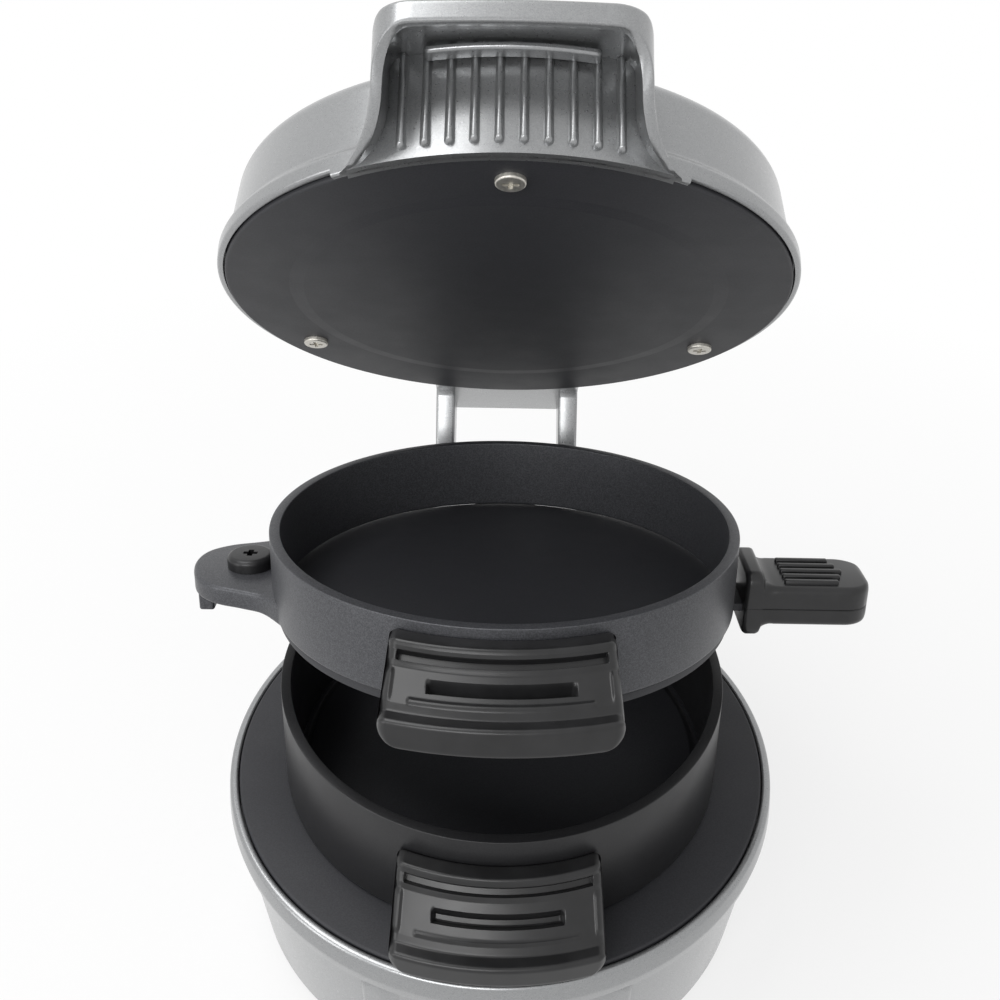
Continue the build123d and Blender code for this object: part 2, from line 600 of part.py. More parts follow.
def hinge_bracket():
    """Web screwed to the drum's rear pad, with two lugs that hold the pin's ends."""
    web = block(-LUG_END_X, LUG_END_X, WEB_Y0, WEB_Y1, BRACKET_Z0, BRACKET_Z1)
    lug = across(outline_yz(
        (WEB_Y0, BRACKET_Z0), (WEB_Y0 + LUG_FOOT_T, BRACKET_Z0), (HINGE_Y + KNUCKLE_R, HINGE_Z - LUG_BACK_H),
        (HINGE_Y + KNUCKLE_R, HINGE_Z), (HINGE_Y - KNUCKLE_R, HINGE_Z), (WEB_Y0, BRACKET_Z1)),
        LUG_X, LUG_END_X)
    lug += on_hinge(KNUCKLE_R, LUG_X, LUG_END_X)
    body = web + with_twin(lug) - on_hinge(PIN_R + PIN_PLAY, -FAR, FAR)
    for x in (-BRACKET_SCREW_X, BRACKET_SCREW_X):
        for z in BRACKET_SCREW_Z:
            body -= along_y(SCREW_R + HOLE_PLAY, x, WEB_Y0, WEB_Y1, z)
    return body


def bracket_screws():
    """Four screws that fasten the hinge bracket."""
    part = Rot(-90, 0, 0) * screw()
    return [Pos(x, WEB_Y1, z) * part
            for x in (-BRACKET_SCREW_X, BRACKET_SCREW_X) for z in BRACKET_SCREW_Z]


def hinge_pin():
    """Steel pin through all seven knuckles, headed at both ends."""
    pin = on_hinge(PIN_R, -PIN_HALF_L, PIN_HALF_L)
    return pin + with_twin(on_hinge(PIN_HEAD_R, PIN_HALF_L, PIN_HALF_L + PIN_HEAD_T))


# ----------------------------------------------------------------------- rings
def ring_wall(z0, z1, draft):
    """Cast ring with a tapered outside, a straight bore and a rounded top rim."""
    wall = lathe((RING_BORE_R, z0), (RING_R + draft, z0), (RING_R, z1), (RING_BORE_R, z1))
    return fillet(wall.edges().group_by(Axis.Z)[-1], RIM_ROUND)


def lower_ring():
    """Lower ring with the middle knuckle on its arm."""
    body = ring_wall(LOWER_RING_Z0, LOWER_RING_Z1, RING_DRAFT)
    root_y = RING_BORE_R + RING_WALL / 2
    arm_z1 = LOWER_RING_Z1 - LOWER_ARM_DROP
    arm = across(outline_yz(
        (root_y, arm_z1 - LOWER_ARM_H), (root_y, arm_z1), (HINGE_Y, HINGE_Z + KNUCKLE_R),
        (HINGE_Y, HINGE_Z - KNUCKLE_R), (HINGE_Y - LOWER_ELBOW[0], HINGE_Z - LOWER_ELBOW[1])),
        -LOWER_KNUCKLE_W / 2, LOWER_KNUCKLE_W / 2)
    body += arm + on_hinge(KNUCKLE_R, -LOWER_KNUCKLE_W / 2, LOWER_KNUCKLE_W / 2)
    return body - on_hinge(PIN_R + PIN_PLAY, -FAR, FAR)


def ear_outline():
    """Plan of the ear that carries the pivot, with smooth flanks that run into the ring."""
    root_x = -RING_BORE_R + RING_WALL / 2
    shoulder_x = PIVOT_X - EAR_SHOULDER[0]
    front = Spline((root_x, -EAR_ROOT_HALF_W), (PIVOT_X, -EAR_HALF_W), (shoulder_x, -EAR_SHOULDER[1]),
                   (EAR_TIP_X, TAB_Y0 - TAB_T), tangents=[(-1, 1), (0, 1)])
    tip = Line((EAR_TIP_X, TAB_Y0 - TAB_T), (EAR_TIP_X, TAB_Y1))
    back = Spline((EAR_TIP_X, TAB_Y1), (shoulder_x, EAR_SHOULDER[1] + EDGE), (PIVOT_X, EAR_HALF_W),
                  (root_x, EAR_ROOT_HALF_W), tangents=[(0, 1), (1, 1)])
    root = Line((root_x, EAR_ROOT_HALF_W), (root_x, -EAR_ROOT_HALF_W))
    return make_face(front + tip + back + root)


def egg_ring():
    """Upper ring with a forked hinge arm, and the ear for the cooking plate's pivot."""
    body = ring_wall(EGG_RING_Z0, EGG_RING_Z1, 0.0)
    root_y = RING_BORE_R - ARM_INSET
    arm_z1 = EGG_RING_Z1 - EGG_ARM_DROP
    arm = across(outline_yz(
        (root_y, EGG_RING_Z0 + EGG_ARM_LIFT), (root_y, arm_z1), (root_y + EGG_SHOULDER[0], arm_z1 - EGG_SHOULDER[1]),
        (HINGE_Y + ARM_HEEL, HINGE_Z + KNUCKLE_R - ARM_INSET),
        (HINGE_Y - KNUCKLE_R + ARM_INSET, HINGE_Z - ARM_HEEL),
        (HINGE_Y - EGG_ELBOW[0], EGG_RING_Z0 + EGG_ELBOW[1])),
        EGG_FORK_X, EGG_FORK_X + FORK_W)
    body += with_twin(arm + on_hinge(KNUCKLE_R, EGG_FORK_X, EGG_FORK_X + FORK_W))
    ear = Pos(0, 0, EGG_RING_Z0) * extrude(ear_outline(), amount=EAR_Z1 - EGG_RING_Z0)
    ear = fillet(ear.edges().group_by(Axis.Z)[-1].filter_by(lambda e: e.center().X < PIVOT_X + LUG_R), EAR_EDGE)
    body += ear - disc(RING_R - RING_WALL / 2, 0, FAR)
    body += block(EAR_TIP_X, EAR_TIP_X + TAB_T, TAB_Y0, TAB_Y1, EAR_Z1 - TAB_DROP, EAR_Z1 - EAR_EDGE)
    body -= disc(PIVOT_R + PIVOT_PLAY, 0, FAR, PIVOT_X)
    return body - on_hinge(PIN_R + PIN_PLAY, -FAR, FAR)


def ring_handle(ring_z0, ring_z1, draft, height):
    """Moulded front handle that wraps its ring: top rail, groove, pressed face, finger lip."""
    top = ring_z1 - HANDLE_TOP_DROP
    foot = top - height
    ledge = foot + LIP_H
    inner_top = ring_outer_r(top, ring_z0, ring_z1, draft) + FIT_GAP
    inner_foot = ring_outer_r(foot, ring_z0, ring_z1, draft) + FIT_GAP
    rail = RING_R + RAIL_REACH
    brow = RING_R + BROW_REACH
    hollow = (LIP_R - LIP_DEPTH - LIP_BLEND, ledge + LIP_BLEND)
    groove_z = top - RAIL_H - GROOVE_H
    brow_z = groove_z - BROW_H
    body = lathe(
        (inner_foot, foot), (LIP_R - EDGE, foot), (LIP_R, foot + EDGE),
        (LIP_R, ledge - EDGE), (LIP_R - EDGE, ledge), (LIP_R - LIP_DEPTH, ledge),
        hollow, (brow, brow_z), (brow - EDGE, groove_z), (rail, top - RAIL_H),
        (rail, top - EDGE), (rail - EDGE, top), (inner_top, top))
    groove = disc(FAR, groove_z, top - RAIL_H) - disc(rail - GROOVE_D, groove_z, top - RAIL_H)
    groove_half_w = HANDLE_TOP_W / 2 - CHEEK_W
    body -= groove & block(-groove_half_w, groove_half_w, -FAR, 0, groove_z, top)
    face_run = hollow[0] - brow
    face_drop = brow_z - hollow[1]
    lean = degrees(asin(face_run / sqrt(face_run ** 2 + face_drop ** 2)))

    def on_face(share):
        """Point on the pressed face, 0 at the brow and 1 at the hollow."""
        return brow + share * face_run, brow_z - share * face_drop

    slot_r, slot_z = on_face(SLOT_SHARE)
    slot = revolve(Plane.XZ * Pos(slot_r, slot_z) * Rot(0, 0, lean) * Rectangle(SLOT_D * 2, SLOT_H), Axis.Z)
    body -= slot & block(-SLOT_W / 2, SLOT_W / 2, -FAR, 0, 0, FAR)
    bead_r, bead_z = on_face(BEAD_SHARE)
    bead = revolve(Plane.XZ * Pos(bead_r, bead_z) * Circle(BEAD_R), Axis.Z)
    body += bead & block(-BEAD_W / 2, BEAD_W / 2, -FAR, 0, 0, FAR)
    front = extrude(outline_xz(
        (-HANDLE_TOP_W / 2, top), (-HANDLE_FOOT_W / 2, foot + HANDLE_CORNER),
        (-HANDLE_FOOT_W / 2 + HANDLE_CORNER, foot), (HANDLE_FOOT_W / 2 - HANDLE_CORNER, foot),
        (HANDLE_FOOT_W / 2, foot + HANDLE_CORNER), (HANDLE_TOP_W / 2, top)), amount=FAR)
    body &= front
    seat = foot + SCREW_CAP_H + HOLE_PLAY
    for x in (-HANDLE_SCREW_X, HANDLE_SCREW_X):
        body -= disc(SCREW_CAP_R + HOLE_PLAY, foot, seat, x, HANDLE_SCREW_Y)
        body -= disc(SCREW_R + HOLE_PLAY, foot, seat + SCREW_L + EDGE, x, HANDLE_SCREW_Y)
    return body


def handle_screws(ring_z1, height):
    """Two screws up into a ring's handle from below, their heads sunk in its foot."""
    seat = ring_z1 - HANDLE_TOP_DROP - height + SCREW_CAP_H + HOLE_PLAY
    part = Rot(180, 0, 0) * screw()
    return [Pos(x, HANDLE_SCREW_Y, seat) * part for x in (-HANDLE_SCREW_X, HANDLE_SCREW_X)]


# --------------------------------------------------------------- cooking plate
def cooking_plate():
    """Thin round plate with a pivot lug on the left and a tongue on the right."""
    plan = Circle(COOK_R) + Pos(PIVOT_X, 0) * Circle(LUG_R)
    plan = fillet([v for v in plan.vertices() if v.X < 0], LUG_BLEND)
    tongue_end = FLANGE_X + TONGUE_L
    plan += Pos(tongue_end / 2, 0) * Rectangle(tongue_end, TONGUE_W)
    plate = Pos(0, 0, COOK_Z0) * extrude(plan, amount=COOK_PLATE_T)
    return plate - disc(PIVOT_R + PIVOT_PLAY, COOK_Z0, COOK_Z1, PIVOT_X)


def pivot_screw():
    """Shouldered screw through the ear and the cooking plate's lug."""
    shank = EAR_Z1 - COOK_Z0 + PIVOT_NUT_H + LEAF_GAP
    return Pos(PIVOT_X, 0, EAR_Z1) * screw(PIVOT_HEAD_R, PIVOT_HEAD_H, PIVOT_R, shank)


def pivot_nut():
    """Hexagon nut under the cooking plate's lug."""
    z1 = COOK_Z0 - LEAF_GAP
    nut = Pos(PIVOT_X, 0, z1 - PIVOT_NUT_H) * extrude(RegularPolygon(PIVOT_NUT_R, 6), amount=PIVOT_NUT_H)
    return nut - disc(PIVOT_R + HOLE_PLAY, z1 - PIVOT_NUT_H, z1, PIVOT_X)


def plate_handle():
    """Side handle: a flange that runs hollow into a ridged grip, moulded round the plate's tongue."""
    profile = Pos(FLANGE_T / 2, 0) * Rectangle(FLANGE_T, FLANGE_H) + Pos(HANDLE_L / 2, 0) * Rectangle(HANDLE_L, GRIP_H)
    inner = [v for v in profile.vertices() if abs(v.X - FLANGE_T) < EDGE and abs(v.Y) < GRIP_H]
    profile = fillet([v for v in inner if abs(abs(v.Y) - GRIP_H / 2) < EDGE], NECK_BLEND_R)
    body = extrude(Plane.XZ * profile, amount=GRIP_W / 2, both=True)
    body = fillet(body.edges().filter_by(Axis.Z).group_by(Axis.X)[-1], GRIP_NOSE_R)
    corners = body.edges().filter_by(Axis.X)
    body = fillet(corners.group_by(Axis.Z)[0] + corners.group_by(Axis.Z)[-1], FLANGE_CORNER_R)
    top_edges = body.edges().filter_by(lambda e: abs(abs(e.center().Z) - GRIP_H / 2) < EDGE / 2)
    body = fillet(top_edges.filter_by(lambda e: e.center().X > FLANGE_T + NECK_BLEND_R), GRIP_EDGE_R)
    body = Pos(FLANGE_X, 0, GRIP_Z) * body
    top = GRIP_Z + GRIP_H / 2
    for i in range(RIDGE_COUNT):
        y = (i - (RIDGE_COUNT - 1) / 2) * RIDGE_PITCH
        end = RIDGE_X0 + RIDGE_L - abs(y) * RIDGE_STAGGER
        ridge = block(RIDGE_X0, end, y - RIDGE_W / 2, y + RIDGE_W / 2, GRIP_Z, top + RIDGE_H)
        body += fillet(ridge.edges().group_by(Axis.Z)[-1], RIDGE_ROUND)
    sole = GRIP_Z - GRIP_H / 2
    body += block(RIDGE_X0, RIDGE_X0 + RIDGE_L, -SOLE_W / 2, SOLE_W / 2, sole - SOLE_H, GRIP_Z)
    pocket = block(0, FLANGE_X + TONGUE_L + HOLE_PLAY, -TONGUE_W / 2 - HOLE_PLAY, TONGUE_W / 2 + HOLE_PLAY,
                   COOK_Z0 - HOLE_PLAY, COOK_Z1 + HOLE_PLAY)
    return body - pocket


# ----------------------------------------------------------------------- cover
COVER_SCREWS = on_circle(COVER_SCREW_PITCH_R, COVER_SCREW_COUNT, -90)


def dome_outside():
    """Outside of the cover as a solid dome standing on its rim."""
    foot = COVER_Z - COVER_RIM_DROP
    wall_foot = (COVER_WALL_FOOT_R, COVER_Z + COVER_RIM_H + COVER_RIM_SLOPE_H)
    shoulder = (COVER_WALL_TOP_R, COVER_Z + COVER_SHOULDER_H)
    bow = (COVER_WALL_TOP_R - COVER_SHOULDER_BOW[0], COVER_Z + COVER_SHOULDER_H + COVER_SHOULDER_BOW[1])
    edge = (COVER_CROWN_R, COVER_Z + COVER_CROWN_EDGE_H)
    flat = (COVER_FLAT_R, COVER_Z + COVER_CROWN_H)
    crown = (0, COVER_Z + COVER_CROWN_H)
    sides = Polyline((0, foot), (COVER_RIM_R - COVER_RIM_ROLL[0], foot), (COVER_RIM_R, foot + COVER_RIM_ROLL[1]),
                     (COVER_RIM_R, COVER_Z + COVER_RIM_H), wall_foot, shoulder)
    turn = ThreePointArc(shoulder, bow, edge)
    top = TangentArc(flat, edge, tangent=(1, 0))
    outline = sides + turn + top + Line(flat, crown) + Line(crown, (0, foot))
    return revolve(Plane.XZ * make_face(outline), Axis.Z)


def dome_inside():
    """Hollow of the cover above its heating plate, with the plate's seat."""
    seat = COVER_Z + PLATE_T
    return lathe(
        (0, COVER_Z - EDGE), (COVER_PLATE_R + SEAT_GAP, COVER_Z - EDGE), (COVER_PLATE_R + SEAT_GAP, seat),
        (COVER_SHELF_R, seat), (COVER_SHELF_R, seat + SHELF_T),
        (COVER_WALL_TOP_R - WALL - EDGE, COVER_Z + COVER_SHOULDER_H - EDGE),
        (COVER_CROWN_R - WALL, COVER_Z + COVER_CROWN_EDGE_H - WALL),
        (COVER_CROWN_R / 2, COVER_Z + (COVER_CROWN_EDGE_H + COVER_CROWN_H) / 2 - WALL + EDGE / 2),
        (COVER_FLAT_R, COVER_Z + COVER_CROWN_H - WALL), (0, COVER_Z + COVER_CROWN_H - WALL))


def hood_front(half_w, bell_half_w):
    """Upright sides of the hood with their bell foot, seen from the front."""
    z0 = COVER_Z - COVER_RIM_DROP
    waist = z0 + HOOD_BELL_H
    bow = (half_w + (bell_half_w - half_w) * HOOD_BELL_BOW, z0 + HOOD_BELL_H * HOOD_BELL_BOW)
    half = make_face(
        Line((0, z0), (bell_half_w, z0)) + ThreePointArc((bell_half_w, z0), bow, (half_w, waist))
        + Line((half_w, waist), (half_w, FAR)) + Line((half_w, FAR), (0, FAR)) + Line((0, FAR), (0, z0)))
    return extrude(Plane.XZ * (half + mirror(half, Plane.YZ)), amount=FAR)


def hood_roof(half_w, top_h, shoulder_r):
    """Space under the hood's roof, which climbs towards the dome and has round shoulders."""
    drop = HOOD_SHOULDER_H
    section = (Pos(0, -drop) * RectangleRounded(2 * half_w, 2 * drop, shoulder_r)
               + Pos(0, -drop - FAR / 2) * Rectangle(FAR, FAR))
    run = extrude(Plane.XZ * section, amount=FAR, both=True)
    return Pos(0, -HOOD_REACH, COVER_Z + top_h) * Rot(HOOD_RISE, 0, 0) * run


def hood_plan(half_w, bell_half_w, reach):
    """Plan of the hood: arched front, round corners and flared sides."""
    bell_y = -sqrt(COVER_RIM_R ** 2 - bell_half_w ** 2)
    waist_y = bell_y - HOOD_FLARE_RUN
    corner = (half_w - HOOD_CORNER_DRAFT, HOOD_CORNER_R - reach)
    front = (half_w - HOOD_CORNER_R, HOOD_FRONT_BOW - reach)
    flare_bow = (half_w + (bell_half_w - half_w) * HOOD_FLARE_BOW[0], bell_y - HOOD_FLARE_BOW[1])
    corner_bow = (corner[0] - HOOD_CORNER_R * HOOD_CORNER_BOW[0], HOOD_CORNER_BOW[1] - reach)
    front_bow = (front[0] / 2, HOOD_FRONT_BOW / 4 - reach)
    half = make_face(
        Line((0, 0), (bell_half_w, 0)) + Line((bell_half_w, 0), (bell_half_w, bell_y))
        + ThreePointArc((bell_half_w, bell_y), flare_bow, (half_w, waist_y))
        + Line((half_w, waist_y), corner) + ThreePointArc(corner, corner_bow, front)
        + ThreePointArc(front, front_bow, (0, -reach)) + Line((0, -reach), (0, 0)))
    return extrude(half + mirror(half, Plane.YZ), amount=FAR)


def hood_side():
    """Side view of the hood under its roof: level band in front, sides cut back down to the rim."""
    z0 = COVER_Z - COVER_RIM_DROP
    root_y = HOOD_LAP - COVER_CROWN_R
    mouth_y = -sqrt(COVER_RIM_R ** 2 - HOOD_BELL_HALF_W ** 2)
    band = (HOOD_LIP_T - HOOD_REACH, COVER_Z + HOOD_TOP_H - HOOD_LIP_H)
    bow = (mouth_y - HOOD_MOUTH_BOW[0], z0 + HOOD_MOUTH_BOW[1])
    face = make_face(
        Line((root_y, z0), (mouth_y, z0)) + ThreePointArc((mouth_y, z0), bow, band)
        + Line(band, (-FAR, band[1])) + Line((-FAR, band[1]), (-FAR, FAR))
        + Line((-FAR, FAR), (root_y, FAR)) + Line((root_y, FAR), (root_y, z0)))
    return extrude(Plane.YZ * face, amount=FAR / 2, both=True)


def grille_ribs():
    """Upright ribs on the wall inside the hood, from near the rim to the ceiling, and their bar."""
    foot = COVER_Z + RIB_FOOT_H
    length = HOOD_TOP_H - HOOD_WALL / 2 - RIB_FOOT_H + RIB_W
    ribs = Part()
    for i in range(RIB_COUNT):
        x = (i - (RIB_COUNT - 1) / 2) * RIB_PITCH
        ribs += extrude(Plane.XZ * Pos(x, foot + length / 2) * SlotOverall(length, RIB_W, rotation=90), amount=FAR)
    ribs &= (disc(GRILLE_R + RIB_PROUD, 0, COVER_Z + HOOD_TOP_H - HOOD_WALL / 2)
             - disc(GRILLE_R - GRILLE_ROOT, 0, FAR))
    bar = disc(GRILLE_R + BAR_PROUD, COVER_Z + BAR_H, COVER_Z + BAR_H + BAR_T)
    bar -= disc(GRILLE_R + BAR_GAP, 0, FAR)
    return ribs + (bar & block(-BAR_HALF_W, BAR_HALF_W, -FAR, 0, 0, FAR))


def hinge_housing():
    """Moulded housing behind the dome, with the cover's two knuckles under it."""
    back = COVER_FORK_X + FORK_W
    top = COVER_Z + HOUSING_H
    root_y = COVER_WALL_TOP_R - HOUSING_LAP
    roof_z = COVER_Z + HOUSING_ROOF_LIFT
    roof = across(outline_yz(
        (root_y, roof_z), (root_y, top), (HINGE_Y - HOUSING_CROWN[0], top - HOUSING_CROWN[1]),
        (HOUSING_BACK_Y - HOUSING_SLOPE[0], top - HOUSING_SLOPE[1]), (HOUSING_BACK_Y, roof_z)), -back, back)
    leg = across(outline_yz(
        (HINGE_Y - LEG_FRONT[0], roof_z + LEG_FRONT[1]), (HOUSING_BACK_Y - LEG_INSET, roof_z + LEG_FRONT[1]),
        (HINGE_Y + KNUCKLE_R, HINGE_Z), (HINGE_Y - KNUCKLE_R, HINGE_Z),
        (HINGE_Y - LEG_HEEL[0], roof_z - LEG_HEEL[1])),
        COVER_FORK_X, back)
    return roof + with_twin(leg + on_hinge(KNUCKLE_R, COVER_FORK_X, back))


def rim_recess():
    """Space under the rim away from the hood, where the upper plate's edge shows."""
    foot = COVER_Z - COVER_RIM_DROP
    ring = disc(COVER_RIM_R + FIT_GAP, foot, foot + RIM_RECESS_H) - disc(COVER_PLATE_R, 0, FAR)
    front = HOOD_BELL_HALF_W + RIM_RECESS_GAP
    return ring - block(-front, front, -FAR, 0, 0, FAR)


def cover_shell():
    """Silver dome with the hooded, ribbed handle in front and the hinge housing behind."""
    hood = (hood_front(HOOD_HALF_W, HOOD_BELL_HALF_W) & hood_roof(HOOD_HALF_W, HOOD_TOP_H, HOOD_SHOULDER_R)
            & hood_plan(HOOD_HALF_W, HOOD_BELL_HALF_W, HOOD_REACH) & hood_side())
    inner_w = HOOD_HALF_W - HOOD_WALL
    inner_bell_w = HOOD_BELL_HALF_W - HOOD_WALL
    pocket = (hood_front(inner_w, inner_bell_w)
              & hood_roof(inner_w, HOOD_TOP_H - HOOD_WALL, HOOD_SHOULDER_R - HOOD_WALL)
              & hood_plan(inner_w, inner_bell_w, HOOD_REACH - HOOD_WALL))
    pocket -= disc(GRILLE_R, 0, FAR)
    body = dome_outside() + (hood - pocket) + grille_ribs() + hinge_housing()
    body -= dome_inside() + rim_recess()
    for x, y in COVER_SCREWS:
        boss = disc(COVER_BOSS_R, COVER_Z + PLATE_T, COVER_Z + COVER_BOSS_H, x, y)
        body += boss & disc(COVER_WALL_TOP_R - WALL / 2, 0, FAR)
        body -= disc(SCREW_R + HOLE_PLAY, 0, COVER_Z + SCREW_L + EDGE, x, y)
    return body - on_hinge(PIN_R + PIN_PLAY, -FAR, FAR)


def cover_heating_plate():
    """Upper heating plate, pad down, with holes for its three screws and room for their heads."""
    plate = in_cover(heating_plate(COVER_PLATE_R, COVER_PAD_RISE))
    for x, y in COVER_SCREWS:
        plate -= disc(SCREW_R + HOLE_PLAY, COVER_Z - COVER_PAD_RISE, COVER_Z + PLATE_T, x, y)
        plate -= disc(SCREW_CAP_R + HOLE_PLAY, COVER_Z - COVER_PAD_RISE, COVER_Z, x, y)
    return plate


def cover_plate_screws():
    """Three bright screws that hold the upper heating plate."""
    part = Rot(180, 0, 0) * screw(cap_h=COVER_SCREW_CAP_H)
    return [Pos(x, y, COVER_Z) * part for x, y in COVER_SCREWS]


def in_cover(piece):
    """Set a piece that was drawn behind a lower plate behind the cover's plate instead."""
    return Pos(0, 0, COVER_Z) * Rot(0, 180, 0) * piece


# ---------------------------------------------------------------------- export
def in_base(piece):
    """Set a piece that was drawn behind a plate under the lower plate."""
    return Pos(0, 0, PLATE_TOP) * piece


NODES = {
    "base_shell": (0, base_shell()),
    "base_floor": (0, base_floor()),
    "feet": (0, feet()),
    "floor_screws": (0, floor_screws()),
    "lower_heating_plate": (0, in_base(heating_plate(PLATE_R, PAD_RISE))),
    "lower_heating_element": (0, in_base(heating_element())),
    "base_heat_shield": (0, in_base(heat_shield())),
    "base_shield_screws": (0, [in_base(s) for s in shield_screws()]),
    "thermostat": (0, in_base(thermostat())),
    "thermal_fuse": (0, in_base(thermal_fuse())),
    "terminal_block": (0, terminal_block()),
    "power_lens": (0, lens(-LENS_PITCH / 2)),
    "preheat_lens": (0, lens(LENS_PITCH / 2)),
    "lamp_board": (0, lamp_board()),
    "indicator_lamps": (0, lamps()),
    "cord_gland": (0, cord_gland()),
    "hinge_bracket": (0, hinge_bracket()),
    "bracket_screws": (0, bracket_screws()),
    "hinge_pin": (0, hinge_pin()),
    "lower_ring": (0, lower_ring()),
    "lower_ring_handle": (0, ring_handle(LOWER_RING_Z0, LOWER_RING_Z1, RING_DRAFT, LOWER_HANDLE_H)),
    "lower_handle_screws": (0, handle_screws(LOWER_RING_Z1, LOWER_HANDLE_H)),
    "egg_ring": (EGG_RING_OPEN, egg_ring()),
    "egg_ring_handle": (EGG_RING_OPEN, ring_handle(EGG_RING_Z0, EGG_RING_Z1, 0.0, EGG_HANDLE_H)),
    "egg_handle_screws": (EGG_RING_OPEN, handle_screws(EGG_RING_Z1, EGG_HANDLE_H)),
    "pivot_screw": (EGG_RING_OPEN, pivot_screw()),
    "pivot_nut": (EGG_RING_OPEN, pivot_nut()),
    "cooking_plate": (EGG_RING_OPEN, cooking_plate()),
    "plate_handle": (EGG_RING_OPEN, plate_handle()),
    "cover_shell": (COVER_OPEN, cover_shell()),
    "cover_heating_plate": (COVER_OPEN, cover_heating_plate()),
    "cover_plate_screws": (COVER_OPEN, cover_plate_screws()),
    "cover_heating_element": (COVER_OPEN, in_cover(heating_element())),
    "cover_heat_shield": (COVER_OPEN, in_cover(heat_shield())),
    "cover_shield_screws": (COVER_OPEN, [in_cover(s) for s in shield_screws()]),
    "cover_thermal_fuse": (COVER_OPEN, in_cover(thermal_fuse())),
}

os.makedirs("parts", exist_ok=True)
for name, (opened, piece) in NODES.items():
    solids = piece if isinstance(piece, list) else [piece]
    turned = [lifted(solid, opened) if opened else solid for solid in solids]
    export_step(Compound(children=turned) if len(turned) > 1 else turned[0], f"parts/{name}.step")
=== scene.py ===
"""Breakfast sandwich maker, dressed: smooth moulded and cast forms, finishes, studio and camera.

Forms are drawn in millimetres with every leaf shut and level, as on the drawing of the CAD frame,
and are then turned about the rear hinge line to the pose of the frame and written in metres.
Outlines are lists of (across, up) pairs, and a corner of one may carry its rounding radius.
"""
import json
from math import acos, atan2, ceil, cos, pi, radians, sin, sqrt, tan

import bmesh
import bpy
from mathutils import Matrix, Vector


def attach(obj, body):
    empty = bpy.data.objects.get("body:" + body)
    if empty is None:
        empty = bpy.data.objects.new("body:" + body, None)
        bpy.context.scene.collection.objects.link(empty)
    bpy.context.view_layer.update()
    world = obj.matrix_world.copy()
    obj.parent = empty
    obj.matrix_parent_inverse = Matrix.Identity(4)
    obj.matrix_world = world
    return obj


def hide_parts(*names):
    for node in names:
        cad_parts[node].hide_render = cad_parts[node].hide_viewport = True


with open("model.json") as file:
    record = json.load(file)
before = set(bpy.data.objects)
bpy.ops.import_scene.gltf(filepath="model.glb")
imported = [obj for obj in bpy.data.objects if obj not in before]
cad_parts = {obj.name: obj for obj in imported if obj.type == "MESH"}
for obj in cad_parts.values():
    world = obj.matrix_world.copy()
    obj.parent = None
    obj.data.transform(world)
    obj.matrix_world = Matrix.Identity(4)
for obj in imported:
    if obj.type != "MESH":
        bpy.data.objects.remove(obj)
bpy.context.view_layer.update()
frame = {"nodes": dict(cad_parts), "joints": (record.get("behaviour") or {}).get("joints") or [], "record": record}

# ------------------------------------------------------------------ the frame
MM = 0.001
JOINT = {j["name"]: j for j in frame["joints"]}
HINGE = Vector(JOINT["cover_hinge"]["pos_m"]) / MM
EGG_OPEN = -JOINT["egg_ring_hinge"]["range_deg"][0]
COVER_OPEN = EGG_OPEN - JOINT["cover_hinge"]["range_deg"][0]
OPEN = {"base": 0.0, "lower_ring": 0.0, "egg_ring": EGG_OPEN, "cooking_plate": EGG_OPEN, "cover": COVER_OPEN}
NODE_SLOT = {part["node"]: part["material_slot"] for part in frame["record"]["subparts"]}

# --------------------------------------------------- sizes, mm, leaves shut
PLATE_TOP = 47.0          # rim of the lower heating plate
LEAF_GAP = 0.3
LOWER_RING_H = 29.6
COOK_PLATE_T = 2.0
EGG_RING_H = 18.4
LOWER_Z0 = PLATE_TOP + LEAF_GAP
LOWER_Z1 = LOWER_Z0 + LOWER_RING_H
COOK_Z0 = LOWER_Z1 + LEAF_GAP
EGG_Z0 = COOK_Z0 + COOK_PLATE_T + LEAF_GAP
EGG_Z1 = EGG_Z0 + EGG_RING_H
COVER_Z = EGG_Z1 + LEAF_GAP
KNUCKLE_R = 5.5
SMOOTH_DEG = 32.0         # faces that meet at less than this are shaded as one


def leaf_matrix(body):
    """From a leaf's shut place in millimetres to its place in the frame."""
    turn = Matrix.Rotation(radians(OPEN[body]), 4, Vector((-1, 0, 0)))
    return Matrix.Scale(MM, 4) @ Matrix.Translation(HINGE) @ turn @ Matrix.Translation(-HINGE)


# --------------------------------------------------------------- node wording
class Wire:
    """A node socket that takes part in Python sums."""

    def __init__(self, graph, socket):
        self.graph = graph
        self.socket = socket

    def _math(self, operation, *values):
        return self.graph.node("ShaderNodeMath", {"operation": operation}, dict(enumerate(values)))

    def __add__(self, other):
        return self._math("ADD", self, other)

    def __sub__(self, other):
        return self._math("SUBTRACT", self, other)

    def __rsub__(self, other):
        return self._math("SUBTRACT", other, self)

    def __mul__(self, other):
        return self._math("MULTIPLY", self, other)

    def __rmul__(self, other):
        return self._math("MULTIPLY", other, self)

    def __truediv__(self, other):
        return self._math("DIVIDE", self, other)

    def __pow__(self, other):
        return self._math("POWER", self, other)


class Graph:
    """A node tree that is written from Python."""

    def __init__(self, tree):
        self.tree = tree

    def node(self, kind, settings=None, values=None, output=0):
        """Add a node: its settings first, then the values or links of its sockets."""
        made = self.tree.nodes.new(kind)
        for key, value in (settings or {}).items():
            setattr(made, key, value)
        for key, value in (values or {}).items():
            if isinstance(value, Wire):
                self.tree.links.new(value.socket, made.inputs[key])
            elif value is not None:
                made.inputs[key].default_value = value
        return Wire(self, made.outputs[output])


